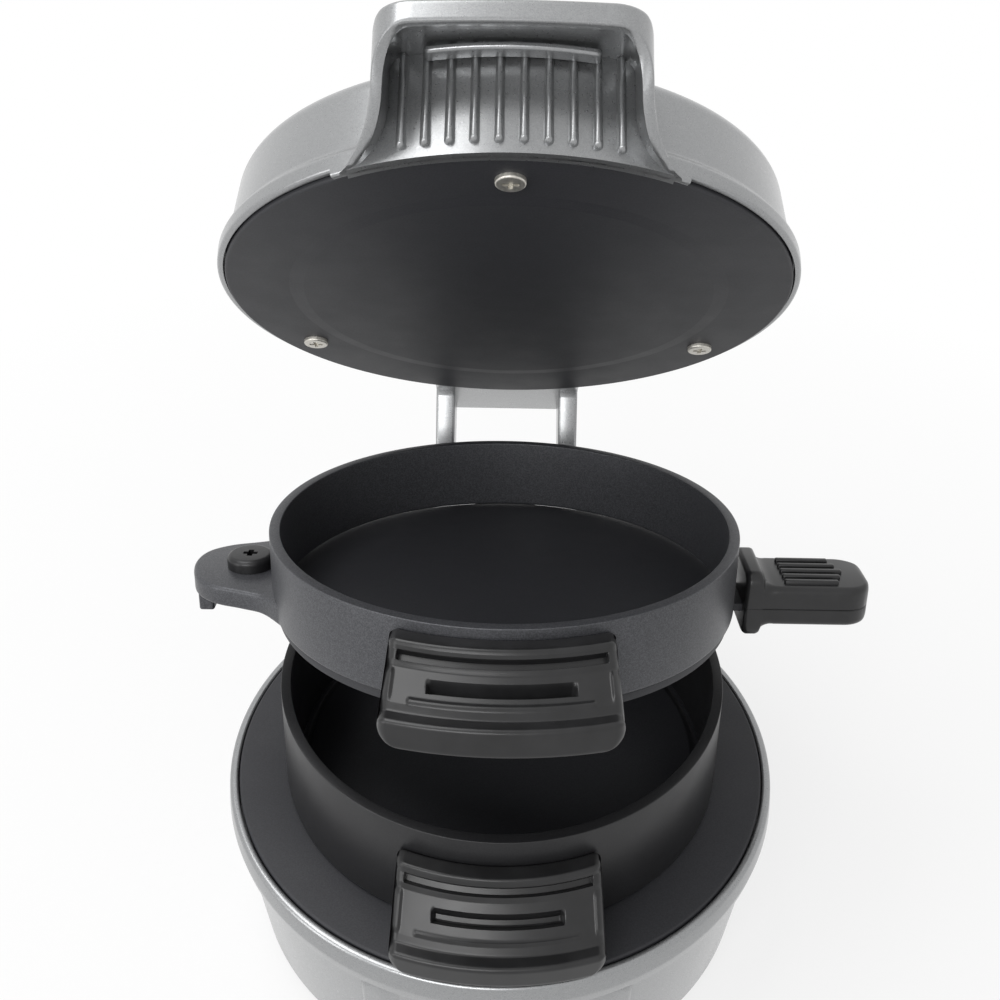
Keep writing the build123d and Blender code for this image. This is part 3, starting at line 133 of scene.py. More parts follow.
class Look(Graph):
    """One procedural material, written as expressions on sockets."""

    def __init__(self, name):
        self.material = bpy.data.materials.new(name)
        self.material.use_nodes = True
        super().__init__(self.material.node_tree)
        self.tree.nodes.clear()
        self.where = self.node("ShaderNodeTexCoord", output="Object")

    def noise(self, size_mm, detail=2.0, stretch=(1, 1, 1)):
        """Even noise from 0 to 1 whose features are about size_mm wide."""
        place = self.node("ShaderNodeMapping", {}, {"Scale": Vector(stretch), "Vector": self.where})
        return self.node("ShaderNodeTexNoise", {}, {"Vector": place, "Scale": 1 / (size_mm * MM),
                                                    "Detail": detail, "Roughness": 0.55}, "Fac")

    def flakes(self, size_mm):
        """One random value for each small cell."""
        cell = self.node("ShaderNodeTexVoronoi", {"feature": "F1"},
                         {"Vector": self.where, "Scale": 1 / (size_mm * MM)}, "Color")
        return self.node("ShaderNodeSeparateColor", {}, {0: cell})

    def steps(self, value, low, high, to_low=0.0, to_high=1.0):
        """Stretch a value from one range to another, clamped."""
        return self.node("ShaderNodeMapRange", {"clamp": True},
                         {0: value, 1: low, 2: high, 3: to_low, 4: to_high})

    def mix(self, amount, first, second):
        """Blend two colours."""
        made = {0: amount}
        for slot, value in ((6, first), (7, second)):
            made[slot] = value if isinstance(value, Wire) else (*value, 1)
        return self.node("ShaderNodeMix", {"data_type": "RGBA"}, made, 2)

    def bump(self, height, depth_mm, strength=1.0):
        """Fine relief."""
        return self.node("ShaderNodeBump", {}, {"Height": height, "Strength": strength,
                                                "Distance": depth_mm * MM})

    def surface(self, colour, roughness, metallic=0.0, normal=None, **fixed):
        """Principled surface; the fixed values are constants of its other sockets."""
        values = {"Base Color": colour if isinstance(colour, Wire) else (*colour, 1),
                  "Roughness": roughness, "Metallic": metallic, "Normal": normal}
        for key, value in fixed.items():
            values[key.replace("_", " ").title().replace("Ior", "IOR")] = value
        return self.node("ShaderNodeBsdfPrincipled", {}, values)

    def close(self, surface):
        """End the material in one surface."""
        out = self.tree.nodes.new("ShaderNodeOutputMaterial")
        self.tree.links.new(surface.socket, out.inputs[0])
        return self.material


class Rule(Graph):
    """A Geometry Nodes tree with named inputs that makes or repeats a form."""

    def __init__(self, name, **inputs):
        super().__init__(bpy.data.node_groups.new(name, "GeometryNodeTree"))
        face = self.tree.interface
        face.new_socket(name="Geometry", in_out="INPUT", socket_type="NodeSocketGeometry")
        face.new_socket(name="Finish", in_out="INPUT", socket_type="NodeSocketMaterial")
        for label, value in inputs.items():
            kind = "NodeSocketInt" if isinstance(value, int) else "NodeSocketFloat"
            face.new_socket(name=label, in_out="INPUT", socket_type=kind).default_value = value
        face.new_socket(name="Geometry", in_out="OUTPUT", socket_type="NodeSocketGeometry")
        enter = self.tree.nodes.new("NodeGroupInput")
        self.given = {socket.name: Wire(self, socket) for socket in enter.outputs if socket.name}

    def vector(self, x=0.0, y=0.0, z=0.0):
        """Vector from three values."""
        return self.node("ShaderNodeCombineXYZ", {}, {0: x, 1: y, 2: z})

    def split(self, vector):
        """The three values of a vector."""
        parts = self.tree.nodes.new("ShaderNodeSeparateXYZ")
        self.tree.links.new(vector.socket, parts.inputs[0])
        return [Wire(self, socket) for socket in parts.outputs]

    def close(self, geometry):
        """End the tree: real faces, one finish."""
        real = self.node("GeometryNodeRealizeInstances", {}, {0: geometry})
        dressed = self.node("GeometryNodeSetMaterial", {}, {0: real, "Material": self.given["Finish"]})
        leave = self.tree.nodes.new("NodeGroupOutput")
        self.tree.links.new(dressed.socket, leave.inputs[0])

    def grown(self, seed, finish, **values):
        """Plain mesh that the tree makes from a seed mesh and the values of its inputs."""
        holder = bpy.data.objects.new("seed", seed)
        bpy.context.scene.collection.objects.link(holder)
        modifier = holder.modifiers.new("rule", "NODES")
        modifier.node_group = self.tree
        values["Finish"] = finish
        for item in self.tree.interface.items_tree:
            if item.in_out == "INPUT" and item.name in values:
                modifier[item.identifier] = values[item.name]
        made = holder.evaluated_get(bpy.context.evaluated_depsgraph_get())
        mesh = bpy.data.meshes.new_from_object(made)
        holder.modifiers.remove(modifier)
        bpy.data.objects.remove(holder)
        return mesh


# -------------------------------------------------------------------- outlines
def rounded(*corners, steps=5):
    """Closed outline whose corners (across, up, radius) are rounded off."""
    points = []
    for i, (across, up, radius) in enumerate(corners):
        here = Vector((across, up))
        back = Vector(corners[i - 1][:2]) - here
        ahead = Vector(corners[(i + 1) % len(corners)][:2]) - here
        half = back.angle(ahead) / 2
        if not radius or half > radians(89.5):
            points.append(here)
            continue
        reach = min(radius / tan(half), back.length * 0.49, ahead.length * 0.49)
        centre = here + (back.normalized() + ahead.normalized()).normalized() * (reach / cos(half))
        first = here + back.normalized() * reach - centre
        last = here + ahead.normalized() * reach - centre
        sweep = atan2(first.x * last.y - first.y * last.x, first.dot(last))
        for k in range(steps + 1):
            points.append(centre + Matrix.Rotation(sweep * k / steps, 2) @ first)
    return points


def refined(outline, step):
    """Closed outline with further points, so that none lie more than a step apart."""
    points = []
    for i, here in enumerate(outline):
        ahead = outline[(i + 1) % len(outline)]
        count = max(1, ceil((ahead - here).length / step))
        points += [here.lerp(ahead, k / count) for k in range(count)]
    return points


def inset(outline, amount):
    """Closed outline moved inwards by amount, a number or a rule of the point."""
    count = len(outline)
    area = sum(outline[i - 1].x * p.y - outline[i - 1].y * p.x for i, p in enumerate(outline))
    side = 1 if area > 0 else -1
    points = []
    for i, here in enumerate(outline):
        back = (here - outline[i - 1]).normalized()
        ahead = (outline[(i + 1) % count] - here).normalized()
        first = Vector((-back.y, back.x)) * side
        last = Vector((-ahead.y, ahead.x)) * side
        normal = (first + last) / max(0.3, 1 + first.dot(last))
        points.append(here + normal * (amount(here) if callable(amount) else amount))
    return points


def circle(radius, across=0.0, up=0.0, count=48):
    """Closed round outline."""
    return [Vector((across + radius * cos(2 * pi * i / count), up + radius * sin(2 * pi * i / count)))
            for i in range(count)]


def spaced(points, count):
    """Points evenly spaced along an open line."""
    lengths = [0.0]
    for i in range(1, len(points)):
        lengths.append(lengths[-1] + (points[i] - points[i - 1]).length)
    out = []
    k = 1
    for i in range(count):
        goal = lengths[-1] * i / (count - 1)
        while k < len(points) - 1 and lengths[k] < goal:
            k += 1
        share = (goal - lengths[k - 1]) / (lengths[k] - lengths[k - 1])
        out.append(points[k - 1].lerp(points[k], share))
    return out


def window(value, half, soft):
    """1 within half of zero, 0 beyond, with a soft step of the given width inside."""
    share = min(1.0, max(0.0, (half - abs(value)) / soft))
    return share * share * (3 - 2 * share)


def upright(u, v, depth):
    """Outline in plan, run upwards."""
    return u, v, depth


def sideways(u, v, depth):
    """Outline seen from the right, run along X."""
    return depth, u, v


def round_the_front(u, v, depth):
    """Outline of (radius, up), run across the front on a circle about Z."""
    return depth, -sqrt(u * u - depth * depth), v


# ------------------------------------------------------------------------ form
class Form:
    """Smooth mesh that stands for CAD nodes, gathered on their shut, level leaf."""

    EDGE_STEPS = 4

    def __init__(self):
        self.mesh = bmesh.new()

    def skin(self, rows, ring=False, loop=False, cap=False):
        """Faces over rows of points; ring closes each row and loop joins the last row to the first."""
        verts = [[self.mesh.verts.new(point) for point in row] for row in rows]
        span = len(rows[0])
        for i in range(len(rows) - (0 if loop else 1)):
            here, there = verts[i], verts[(i + 1) % len(rows)]
            for j in range(span - (0 if ring else 1)):
                k = (j + 1) % span
                self.mesh.faces.new((here[j], here[k], there[k], there[j]))
        if cap:
            self.mesh.faces.new(verts[0])
            self.mesh.faces.new(verts[-1])
        return verts

    def turned(self, outline, count=180, x=0.0, y=0.0, extra=()):
        """Body of revolution about Z; outline is a closed outline or a rule of the turn."""
        turns = sorted([2 * pi * i / count for i in range(count)] + list(extra))
        rows = []
        for turn in turns:
            line = outline(turn) if callable(outline) else outline
            rows.append([(x + r * cos(turn), y + r * sin(turn), z) for r, z in line])
        self.skin(rows, ring=True, loop=True)

    def slab(self, outline, start, end, edge, place, stations=(), share=lambda p: 1.0):
        """Closed outline run from one depth to another; share is how much a point's edge is rounded."""
        turns = [pi / 2 * k / self.EDGE_STEPS for k in range(self.EDGE_STEPS + 1)]
        ends = [(edge * (1 - cos(t)), edge * (1 - sin(t))) for t in turns]
        rows = [(start + d, i) for d, i in ends]
        rows += [(depth, 0.0) for depth in stations if start + edge < depth < end - edge]
        rows += [(end - d, i) for d, i in reversed(ends)]
        skins = []
        for depth, inwards in rows:
            line = inset(outline, lambda p: inwards * share(p))
            skins.append([place(p.x, p.y, depth) for p in line])
        self.skin(skins, ring=True, cap=True)

    def curved_patch(self, outline, start, end, edge, place):
        """Raised patch on a curved wall: like a slab, its top filled by rows of ever smaller outlines."""
        turns = [pi / 2 * k / self.EDGE_STEPS for k in range(self.EDGE_STEPS + 1)]
        rows = [[place(p.x, p.y, start) for p in outline]]
        for turn in reversed(turns):
            line = inset(outline, edge * (1 - sin(turn)))
            rows.append([place(p.x, p.y, end - edge * (1 - cos(turn))) for p in line])
        last = inset(outline, edge)
        mid = (min(p.y for p in last) + max(p.y for p in last)) / 2
        for share in (0.75, 0.5, 0.25, 0.0):
            rows.append([place(p.x, mid + (p.y - mid) * share, end) for p in last])
        self.skin(rows, ring=True)

    def swept(self, profile, edge_share, edge, stations, relief, place):
        """Closed profile run between -1 and 1 of its own width, with rounded ends and a relief."""
        rows = []
        for share in stations:
            near = max(0.0, abs(share) - (1 - edge_share)) / edge_share
            inwards = edge * (1 - sqrt(max(0.0, 1 - near * near)))
            line = inset(profile, lambda p: inwards - relief(p, share))
            rows.append([place(p.x, p.y, share) for p in line])
        self.skin(rows, ring=True, cap=True)

    def rod(self, radius, x0, x1, edge=0.3):
        """Cylinder on the hinge line with softened ends."""
        self.slab(circle(radius, HINGE.y, HINGE.z), x0, x1, edge, sideways)

    def screw(self, x, y, z, head_r, head_h, shank_r, length, up, arm, slot):
        """Round-headed screw with a cross recess; up is 1 where its head points up, else -1."""
        turns = [2 * pi * (i + 0.5) / 96 for i in range(96)]

        def ring(radius, height):
            return [(x + radius * cos(t), y + radius * sin(t), z + up * height) for t in turns]

        def cross(height):
            row = []
            for t in turns:
                c, s = max(1e-6, abs(cos(t))), max(1e-6, abs(sin(t)))
                radius = max(min(arm / c, slot / s), min(slot / c, arm / s))
                row.append((x + radius * cos(t), y + radius * sin(t), z + up * height))
            return row

        edge = head_h * 0.4
        bend = [radians(a) for a in range(0, 91, 15)]
        rows = [ring(shank_r, -length), ring(shank_r, 0), ring(head_r, 0)]
        rows += [ring(head_r - edge * (1 - cos(t)), head_h - edge * (1 - sin(t))) for t in bend]
        rows += [cross(head_h), cross(head_h * 0.35)]
        self.skin(rows, ring=True, cap=True)

    def add(self, mesh, move=Matrix.Identity(4)):
        """Take in a mesh that was made elsewhere."""
        mesh.transform(move)
        self.mesh.from_mesh(mesh)
        bpy.data.meshes.remove(mesh)

    def seed(self):
        """The form as a mesh for a Geometry Nodes tree, still in millimetres."""
        mesh = bpy.data.meshes.new("seed")
        self.tidy()
        self.mesh.to_mesh(mesh)
        return mesh

    def tidy(self):
        """Merge doubles and turn every face outwards."""
        bmesh.ops.remove_doubles(self.mesh, verts=self.mesh.verts, dist=0.002)
        bmesh.ops.recalc_face_normals(self.mesh, faces=self.mesh.faces)

    def finish(self, name, body, *nodes):
        """Set the form in the frame on its body, in place of its CAD nodes."""
        self.tidy()
        self.mesh.transform(leaf_matrix(body))
        mesh = bpy.data.meshes.new(name)
        self.mesh.to_mesh(mesh)
        self.mesh.free()
        mesh.shade_smooth()
        mesh.set_sharp_from_angle(angle=radians(SMOOTH_DEG))
        mesh.materials.clear()
        mesh.materials.append(LOOKS[NODE_SLOT[nodes[0]]])
        piece = bpy.data.objects.new(name, mesh)
        bpy.context.scene.collection.objects.link(piece)
        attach(piece, body)
        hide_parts(*nodes)
        return piece


# ------------------------------------------------------------------ materials
def silver_paint():
    """Metallic silver moulded plastic with a fine sparkle."""
    look = Look("silver_paint")
    flake = look.flakes(0.20)
    cloud = look.noise(0.6)
    grey = look.mix(look.steps(flake, 0.1, 0.95), (0.275, 0.28, 0.285), (0.325, 0.33, 0.335))
    rough = look.steps(cloud, 0.3, 0.7, 0.27, 0.33)
    relief = look.bump(cloud, 0.005, 0.2)
    return look.close(look.surface(grey, rough, 0.75, relief, coat_weight=0.4, coat_roughness=0.1))


def coated_plate():
    """Dark non-stick coat on a cast plate, with a slight grain."""
    look = Look("coated_plate")
    grain = look.noise(0.35, 3)
    cloud = look.noise(9.0)
    dark = look.mix(look.steps(grain, 0.35, 0.7), (0.022, 0.0225, 0.026), (0.034, 0.0345, 0.039))
    rough = look.steps(cloud, 0.3, 0.7, 0.50, 0.55)
    relief = look.bump(grain, 0.03, 0.35)
    return look.close(look.surface(dark, rough, 0.0, relief, specular_ior_level=0.35))


def coated_ring():
    """Smooth near-black coat of the lower ring."""
    look = Look("coated_ring")
    grain = look.noise(0.4, 2)
    dark = look.mix(look.steps(grain, 0.3, 0.7), (0.012, 0.012, 0.013), (0.020, 0.020, 0.0215))
    rough = look.steps(look.noise(7.0), 0.3, 0.7, 0.36, 0.41)
    relief = look.bump(grain, 0.015, 0.2)
    return look.close(look.surface(dark, rough, 0.0, relief, specular_ior_level=0.35))


def grey_ring():
    """Dark bluish-grey metallic coat with a coarse sparkle."""
    look = Look("grey_ring")
    flake = look.flakes(0.20)
    grain = look.noise(0.3, 3)
    grey = look.mix(look.steps(flake, 0.2, 0.95), (0.045, 0.046, 0.051), (0.085, 0.087, 0.095))
    rough = look.steps(grain, 0.3, 0.7, 0.34, 0.44)
    return look.close(look.surface(grey, rough, 0.35, look.bump(grain, 0.04, 0.4)))


def satin_black():
    """Satin black heat-resistant moulded plastic."""
    look = Look("satin_black")
    skin = look.noise(0.30, 2)
    wear = look.noise(6.0)
    dark = look.mix(look.steps(wear, 0.3, 0.7), (0.013, 0.013, 0.0135), (0.020, 0.020, 0.021))
    rough = look.steps(wear, 0.3, 0.7, 0.28, 0.34)
    relief = look.bump(skin, 0.008, 0.2)
    return look.close(look.surface(dark, rough, 0.0, relief, specular_ior_level=0.40))


def plain(name, colour, roughness, metallic=0.0, grain_mm=0.5, depth_mm=0.01, stretch=(1, 1, 1), **fixed):
    """A simple finish with a little grain in its tone, gloss and surface."""
    look = Look(name)
    grain = look.noise(grain_mm, 2, stretch)
    tone = look.mix(look.steps(grain, 0.3, 0.7), tuple(c * 0.86 for c in colour),
                    tuple(min(1, c * 1.1) for c in colour))
    rough = look.steps(grain, 0.3, 0.7, roughness * 0.85, min(1, roughness * 1.15))
    return look.close(look.surface(tone, rough, metallic, look.bump(grain, depth_mm, 0.3), **fixed))


LOOKS = {
    "silver_plastic": silver_paint(),
    "coated_plate": coated_plate(),
    "coated_ring": coated_ring(),
    "grey_ring": grey_ring(),
    "black_plastic": satin_black(),
    "dark_plastic": plain("dark_plastic", (0.035, 0.035, 0.036), 0.5, grain_mm=0.4, depth_mm=0.02),
    "black_metal": plain("black_oxide", (0.016, 0.016, 0.017), 0.36, 0.4),
    "steel": plain("plain_steel", (0.62, 0.60, 0.55), 0.42, 0.85, stretch=(1, 1, 0.2)),
    "element_sheath": plain("element_sheath", (0.30, 0.29, 0.28), 0.45, 1.0),
    "bare_aluminium": plain("bare_aluminium", (0.75, 0.75, 0.76), 0.34, 1.0, stretch=(0.1, 1, 1)),
    "rubber": plain("rubber", (0.022, 0.022, 0.022), 0.75, grain_mm=0.25, depth_mm=0.03),
    "white_plastic": plain("white_plastic", (0.80, 0.79, 0.75), 0.42),
    "board": plain("laminate", (0.28, 0.20, 0.09), 0.5),
    "red_lens": plain("red_lens", (0.40, 0.02, 0.012), 0.16, coat_weight=0.6),
    "green_lens": plain("green_lens", (0.03, 0.26, 0.06), 0.16, coat_weight=0.6),
    "lamp_glass": plain("lamp_glass", (0.82, 0.78, 0.68), 0.12),
}


def dress_nodes():
    """Give every CAD node the finish of its slot."""
    for name, node in frame["nodes"].items():
        node.data.materials.clear()
        node.data.materials.append(LOOKS[NODE_SLOT[name]])


# ----------------------------------------------------------------- repetition
def ring_rule():
    """Cast ring: a rounded section run round a circle, its outside drafted towards the foot."""
    rule = Rule("cast_ring", Segments=240, Bore=53.0, Wall=2.5, Height=20.0, Foot=0.0, Draft=0.0,
                Rim_Round=0.9, Foot_Round=0.2)
    bore, wall, height, foot = (rule.given[key] for key in ("Bore", "Wall", "Height", "Foot"))
    path = rule.node("GeometryNodeCurvePrimitiveCircle", {"mode": "RADIUS"},
                     {"Resolution": rule.given["Segments"], "Radius": bore + wall / 2})
    section = rule.node("GeometryNodeCurvePrimitiveQuadrilateral", {"mode": "RECTANGLE"},
                        {"Width": wall, "Height": height})
    x, y, z = rule.split(rule.node("GeometryNodeInputPosition"))
    at_rim = rule.node("ShaderNodeMath", {"operation": "GREATER_THAN"}, {0: y, 1: 0.0})
    rounding = rule.given["Foot_Round"] + (rule.given["Rim_Round"] - rule.given["Foot_Round"]) * at_rim
    section = rule.node("GeometryNodeFilletCurve", {"mode": "POLY"},
                        {"Curve": section, "Count": 5, "Radius": rounding})
    swept = rule.node("GeometryNodeCurveToMesh", {}, {"Curve": path, "Profile Curve": section})
    radius = (x * x + y * y) ** 0.5
    outwards = rule.given["Draft"] * (0.5 - z / height) * ((radius - bore) / wall)
    shift = rule.vector(x * outwards / radius, y * outwards / radius, foot + height / 2)
    rule.close(rule.node("GeometryNodeSetPosition", {}, {"Geometry": swept, "Offset": shift}))
    return rule


def wall_row_rule():
    """Copies of one form side by side along X, standing on an upright round wall."""
    rule = Rule("row_on_wall", Count=10, Pitch=4.0, Wall=70.0)
    first = (rule.given["Count"] - 1) * rule.given["Pitch"] * -0.5
    row = rule.node("GeometryNodeMeshLine", {"mode": "OFFSET"},
                    {"Count": rule.given["Count"], "Start Location": rule.vector(first),
                     "Offset": rule.vector(rule.given["Pitch"])})
    x = rule.split(rule.node("GeometryNodeInputPosition"))[0]
    depth = (rule.given["Wall"] ** 2 - x * x) ** 0.5
    row = rule.node("GeometryNodeSetPosition", {}, {"Geometry": row, "Position": rule.vector(x, depth * -1)})
    rule.close(rule.node("GeometryNodeInstanceOnPoints", {},
                         {"Points": row, "Instance": rule.given["Geometry"]}))
    return rule


def staggered_row_rule():
    """Copies of one bar side by side along Y, each shorter the further it is from the middle."""
    rule = Rule("staggered_row", Count=5, Pitch=3.0, Length=15.0, Stagger=0.35)
    first = (rule.given["Count"] - 1) * rule.given["Pitch"] * -0.5
    row = rule.node("GeometryNodeMeshLine", {"mode": "OFFSET"},
                    {"Count": rule.given["Count"], "Start Location": rule.vector(0.0, first),
                     "Offset": rule.vector(0.0, rule.given["Pitch"])})
    y = rule.split(rule.node("GeometryNodeInputPosition"))[1]
    away = rule.node("ShaderNodeMath", {"operation": "ABSOLUTE"}, {0: y})
    size = rule.vector((rule.given["Length"] - away * rule.given["Stagger"]) / rule.given["Length"], 1.0, 1.0)
    rule.close(rule.node("GeometryNodeInstanceOnPoints", {},
                         {"Points": row, "Instance": rule.given["Geometry"], "Scale": size}))
    return rule


def grid_rule():
    """Copies of one form at the places of a level grid."""
    rule = Rule("grid", Columns=2, Rows=2, Width=66.0, Depth=92.0)
    grid = rule.node("GeometryNodeMeshGrid", {},
                     {"Size X": rule.given["Width"], "Size Y": rule.given["Depth"],
                      "Vertices X": rule.given["Columns"], "Vertices Y": rule.given["Rows"]})
    rule.close(rule.node("GeometryNodeInstanceOnPoints", {},
                         {"Points": grid, "Instance": rule.given["Geometry"]}))
    return rule


CAST_RING = ring_rule()
WALL_ROW = wall_row_rule()
STAGGERED_ROW = staggered_row_rule()
GRID = grid_rule()


# ------------------------------------------------------------------------ base
RIM_R = 72.0
RIM_TOP_Z = PLATE_TOP - LEAF_GAP
DRUM_TOP = (70.0, 37.0)
DRUM_FOOT = (67.0, 4.0)
WALL = 2.2
SEAT_R = 69.3
SHELF_R = 64.0
PLATE_R = 69.0
PLATE_T = 3.0
PAD_R = 51.0
PANEL_HALF_W = 31.5
PANEL_Z = (8.0, 39.0)     # its top runs in under the rim
PANEL_PROUD = 1.4
BRACKET_PAD = (57.0, 72.5, 16.0, 36.5)   # back of the drum: y from, y to, z from, z to
BRACKET_HALF_W = 28.7


def drum_r(z):
    """Outside radius of the tapered drum."""
    share = (z - DRUM_FOOT[1]) / (DRUM_TOP[1] - DRUM_FOOT[1])
    return DRUM_FOOT[0] + (DRUM_TOP[0] - DRUM_FOOT[0]) * share


def on_drum(u, v, depth):
    """Place on the front of the drum, depth measured outwards."""
    return u, -sqrt((drum_r(v) + depth) ** 2 - u * u), v


def base_shell():
    """Tapered drum with its flared, softly rolled rim and the raised control panel."""
    form = Form()
    form.turned(rounded(
        (DRUM_FOOT[0] - WALL, DRUM_FOOT[1], 0.5), (DRUM_FOOT[0], DRUM_FOOT[1], 0.9),
        (DRUM_TOP[0], DRUM_TOP[1], 1.2), (RIM_R - 0.5, DRUM_TOP[1] + 1.3, 1.2), (RIM_R, 41.5, 3.5),
        (RIM_R - 0.6, RIM_TOP_Z, 2.2), (SEAT_R, RIM_TOP_Z, 0.6), (SEAT_R, PLATE_TOP - PLATE_T, 0.2),
        (SHELF_R, PLATE_TOP - PLATE_T, 0.4), (SHELF_R, PLATE_TOP - PLATE_T - 2.0, 0.4),
        (DRUM_TOP[0] - WALL, DRUM_TOP[1], 1.0), steps=6))
    panel = rounded((-PANEL_HALF_W, PANEL_Z[0], 5), (PANEL_HALF_W, PANEL_Z[0], 5),
                    (PANEL_HALF_W, PANEL_Z[1], 5), (-PANEL_HALF_W, PANEL_Z[1], 5), steps=8)
    form.curved_patch(panel, -1.5, PANEL_PROUD, 0.9, on_drum)
    y0, y1, z0, z1 = BRACKET_PAD
    form.slab(rounded((y0, z0, 0.5), (y1, z0, 1.0), (y1, z1, 1.0), (y0, z1, 0.5)),
              -BRACKET_HALF_W, BRACKET_HALF_W, 1.0, sideways)
    form.finish("base_housing", "base", "base_shell")


def feet():
    """Four rubber feet with rounded soles, set out on a grid."""
    foot = Form()
    foot.turned(rounded((0, 0, 0), (7.0, 0, 1.6), (6.6, 4.0, 0), (0, 4.0, 0)), 48)
    form = Form()
    form.add(GRID.grown(foot.seed(), LOOKS["rubber"], Width=66.0, Depth=92.0))
    form.finish("rubber_feet", "base", "feet")


def heating_plate(form, top, up, radius, rise, bevel):
    """Cast plate with a rounded rim and a softly raised middle; up is 1 or -1."""
    line = rounded((0, -PLATE_T, 0), (radius, -PLATE_T, 0.4), (radius, 0, 0.7), (PAD_R + bevel, 0, bevel),
                   (PAD_R - bevel * 0.4, rise, bevel), (0, rise, 0), steps=6)
    form.turned([Vector((p.x, top + up * p.y)) for p in line], 200)


def lower_plate():
    """Lower heating plate with its raised middle."""
    form = Form()
    heating_plate(form, PLATE_TOP, up=1, radius=PLATE_R, rise=1.2, bevel=1.3)
    form.finish("lower_plate", "base", "lower_heating_plate")


# ----------------------------------------------------------------------- rings
RING_R = 55.5
BORE_R = 53.0
RING_WALL = RING_R - BORE_R
LOWER_DRAFT = 1.1
RING_FIT = 0.3
ROOT_Y = 54.3             # where the arms start, inside the ring's wall
KNUCKLE_HALF_W = 9.0      # middle knuckle, on the lower ring's arm


def ring(form, z0, height, draft, finish):
    """The cast wall of a ring."""
    form.add(CAST_RING.grown(bpy.data.meshes.new("seed"), finish, Bore=BORE_R, Wall=RING_WALL,
                             Height=height, Foot=z0, Draft=draft))


def lower_ring():
    """Deep lower ring with the middle knuckle on its arm."""
    form = Form()
    ring(form, LOWER_Z0, LOWER_RING_H, LOWER_DRAFT, LOOKS["coated_ring"])
    arm = rounded((ROOT_Y, LOWER_Z1 - 14, 0.5), (HINGE.y - 13, HINGE.z - 9, 4),
                  (HINGE.y, HINGE.z - KNUCKLE_R, 2), (HINGE.y, HINGE.z + KNUCKLE_R, 2),
                  (ROOT_Y, LOWER_Z1 - 1.5, 0.5))
    form.slab(arm, -KNUCKLE_HALF_W, KNUCKLE_HALF_W, 1.0, sideways)
    form.rod(KNUCKLE_R, -KNUCKLE_HALF_W, KNUCKLE_HALF_W, 0.5)
    form.finish("deep_ring", "lower_ring", "lower_ring")


EAR_TOP_Z = 84.5
PIVOT_X = -61.5
EAR_TIP_X = -76.0
EAR_ROOT_R = 54.4         # the ear ends inside the ring's wall
HOOK_X = (-75.0, -71.3)   # hook under the ear's tip that stops the plate's lug
HOOK_Y = (-0.5, 5.0)      # its front and back; the cooking plate cuts into it at the full swing
HOOK_H = 12.4             # from the ear's top down to the hook's end
FORK_X = (9.4, 15.4)      # each prong of the egg ring's arm


def flowing(points, steps=10):
    """Open smooth line through points."""
    ends = [points[0] * 2 - points[1]] + points + [points[-1] * 2 - points[-2]]
    line = []
    for i in range(1, len(ends) - 2):
        a, b, c, d = ends[i - 1:i + 3]
        for k in range(steps):
            t = k / steps
            line.append(b + (c - a) * (t / 2) + (a * 2 - b * 5 + c * 4 - d) * (t * t / 2)
                        + (b * 3 - a - c * 3 + d) * (t ** 3 / 2))
    return line + [points[-1]]


def ear_outline():
    """Plan of the ear that carries the pivot, its flanks running hollow into the ring."""
    points = ((-50.4, -22.0), (-56.0, -16.6), (PIVOT_X, -14.2), (-68.0, -11.8), (-72.8, -7.6),
              (-75.0, -2.0), (EAR_TIP_X + 0.7, 3.6), (-73.4, 8.4), (-68.4, 12.0), (PIVOT_X, 14.2),
              (-56.0, 16.6), (-50.4, 22.0))
    root = [Vector((-cos(radians(a)), sin(radians(a)))) * EAR_ROOT_R for a in range(20, -21, -4)]
    return flowing([Vector(p) for p in points]) + root


def egg_ring():
    """Shallow upper ring with its forked arm and the ear for the cooking plate's pivot."""
    form = Form()
    ring(form, EGG_Z0, EGG_RING_H, 0.0, LOOKS["grey_ring"])
    arm = rounded((ROOT_Y, EGG_Z0 + 2, 0.4), (HINGE.y - 16, EGG_Z0 + 1, 4), (HINGE.y - 5.1, HINGE.z - 2, 2),
                  (HINGE.y + 2, HINGE.z + 5.1, 2), (ROOT_Y + 13, EGG_Z1 - 5, 5), (ROOT_Y, EGG_Z1 - 3, 0.4))
    for x0, x1 in (FORK_X, (-FORK_X[1], -FORK_X[0])):
        form.slab(arm, x0, x1, 0.9, sideways)
        form.rod(KNUCKLE_R, x0, x1, 0.5)
    form.slab(ear_outline(), EGG_Z0, EAR_TOP_Z, 0.9, upright,
              share=lambda p: min(1.0, max(0.0, (p.length - EAR_ROOT_R - 0.6) / 4)))
    hook = rounded((HOOK_X[0], HOOK_Y[0], 0.7), (HOOK_X[1], HOOK_Y[0], 0.7), (HOOK_X[1], HOOK_Y[1], 0.7),
                   (HOOK_X[0], HOOK_Y[1], 0.7))
    form.slab(hook, EAR_TOP_Z - HOOK_H, EAR_TOP_Z - 1.2, 0.5, upright)
    form.finish("shallow_ring", "egg_ring", "egg_ring")


def pivot_screw():
    """Broad round-headed screw that the cooking plate turns on."""
    form = Form()
    form.screw(PIVOT_X, 0, EAR_TOP_Z, head_r=5.6, head_h=3.2, shank_r=3.0,
               length=EAR_TOP_Z - COOK_Z0 + 2.3, up=1, arm=1.7, slot=0.65)
    form.finish("pivot", "egg_ring", "pivot_screw")


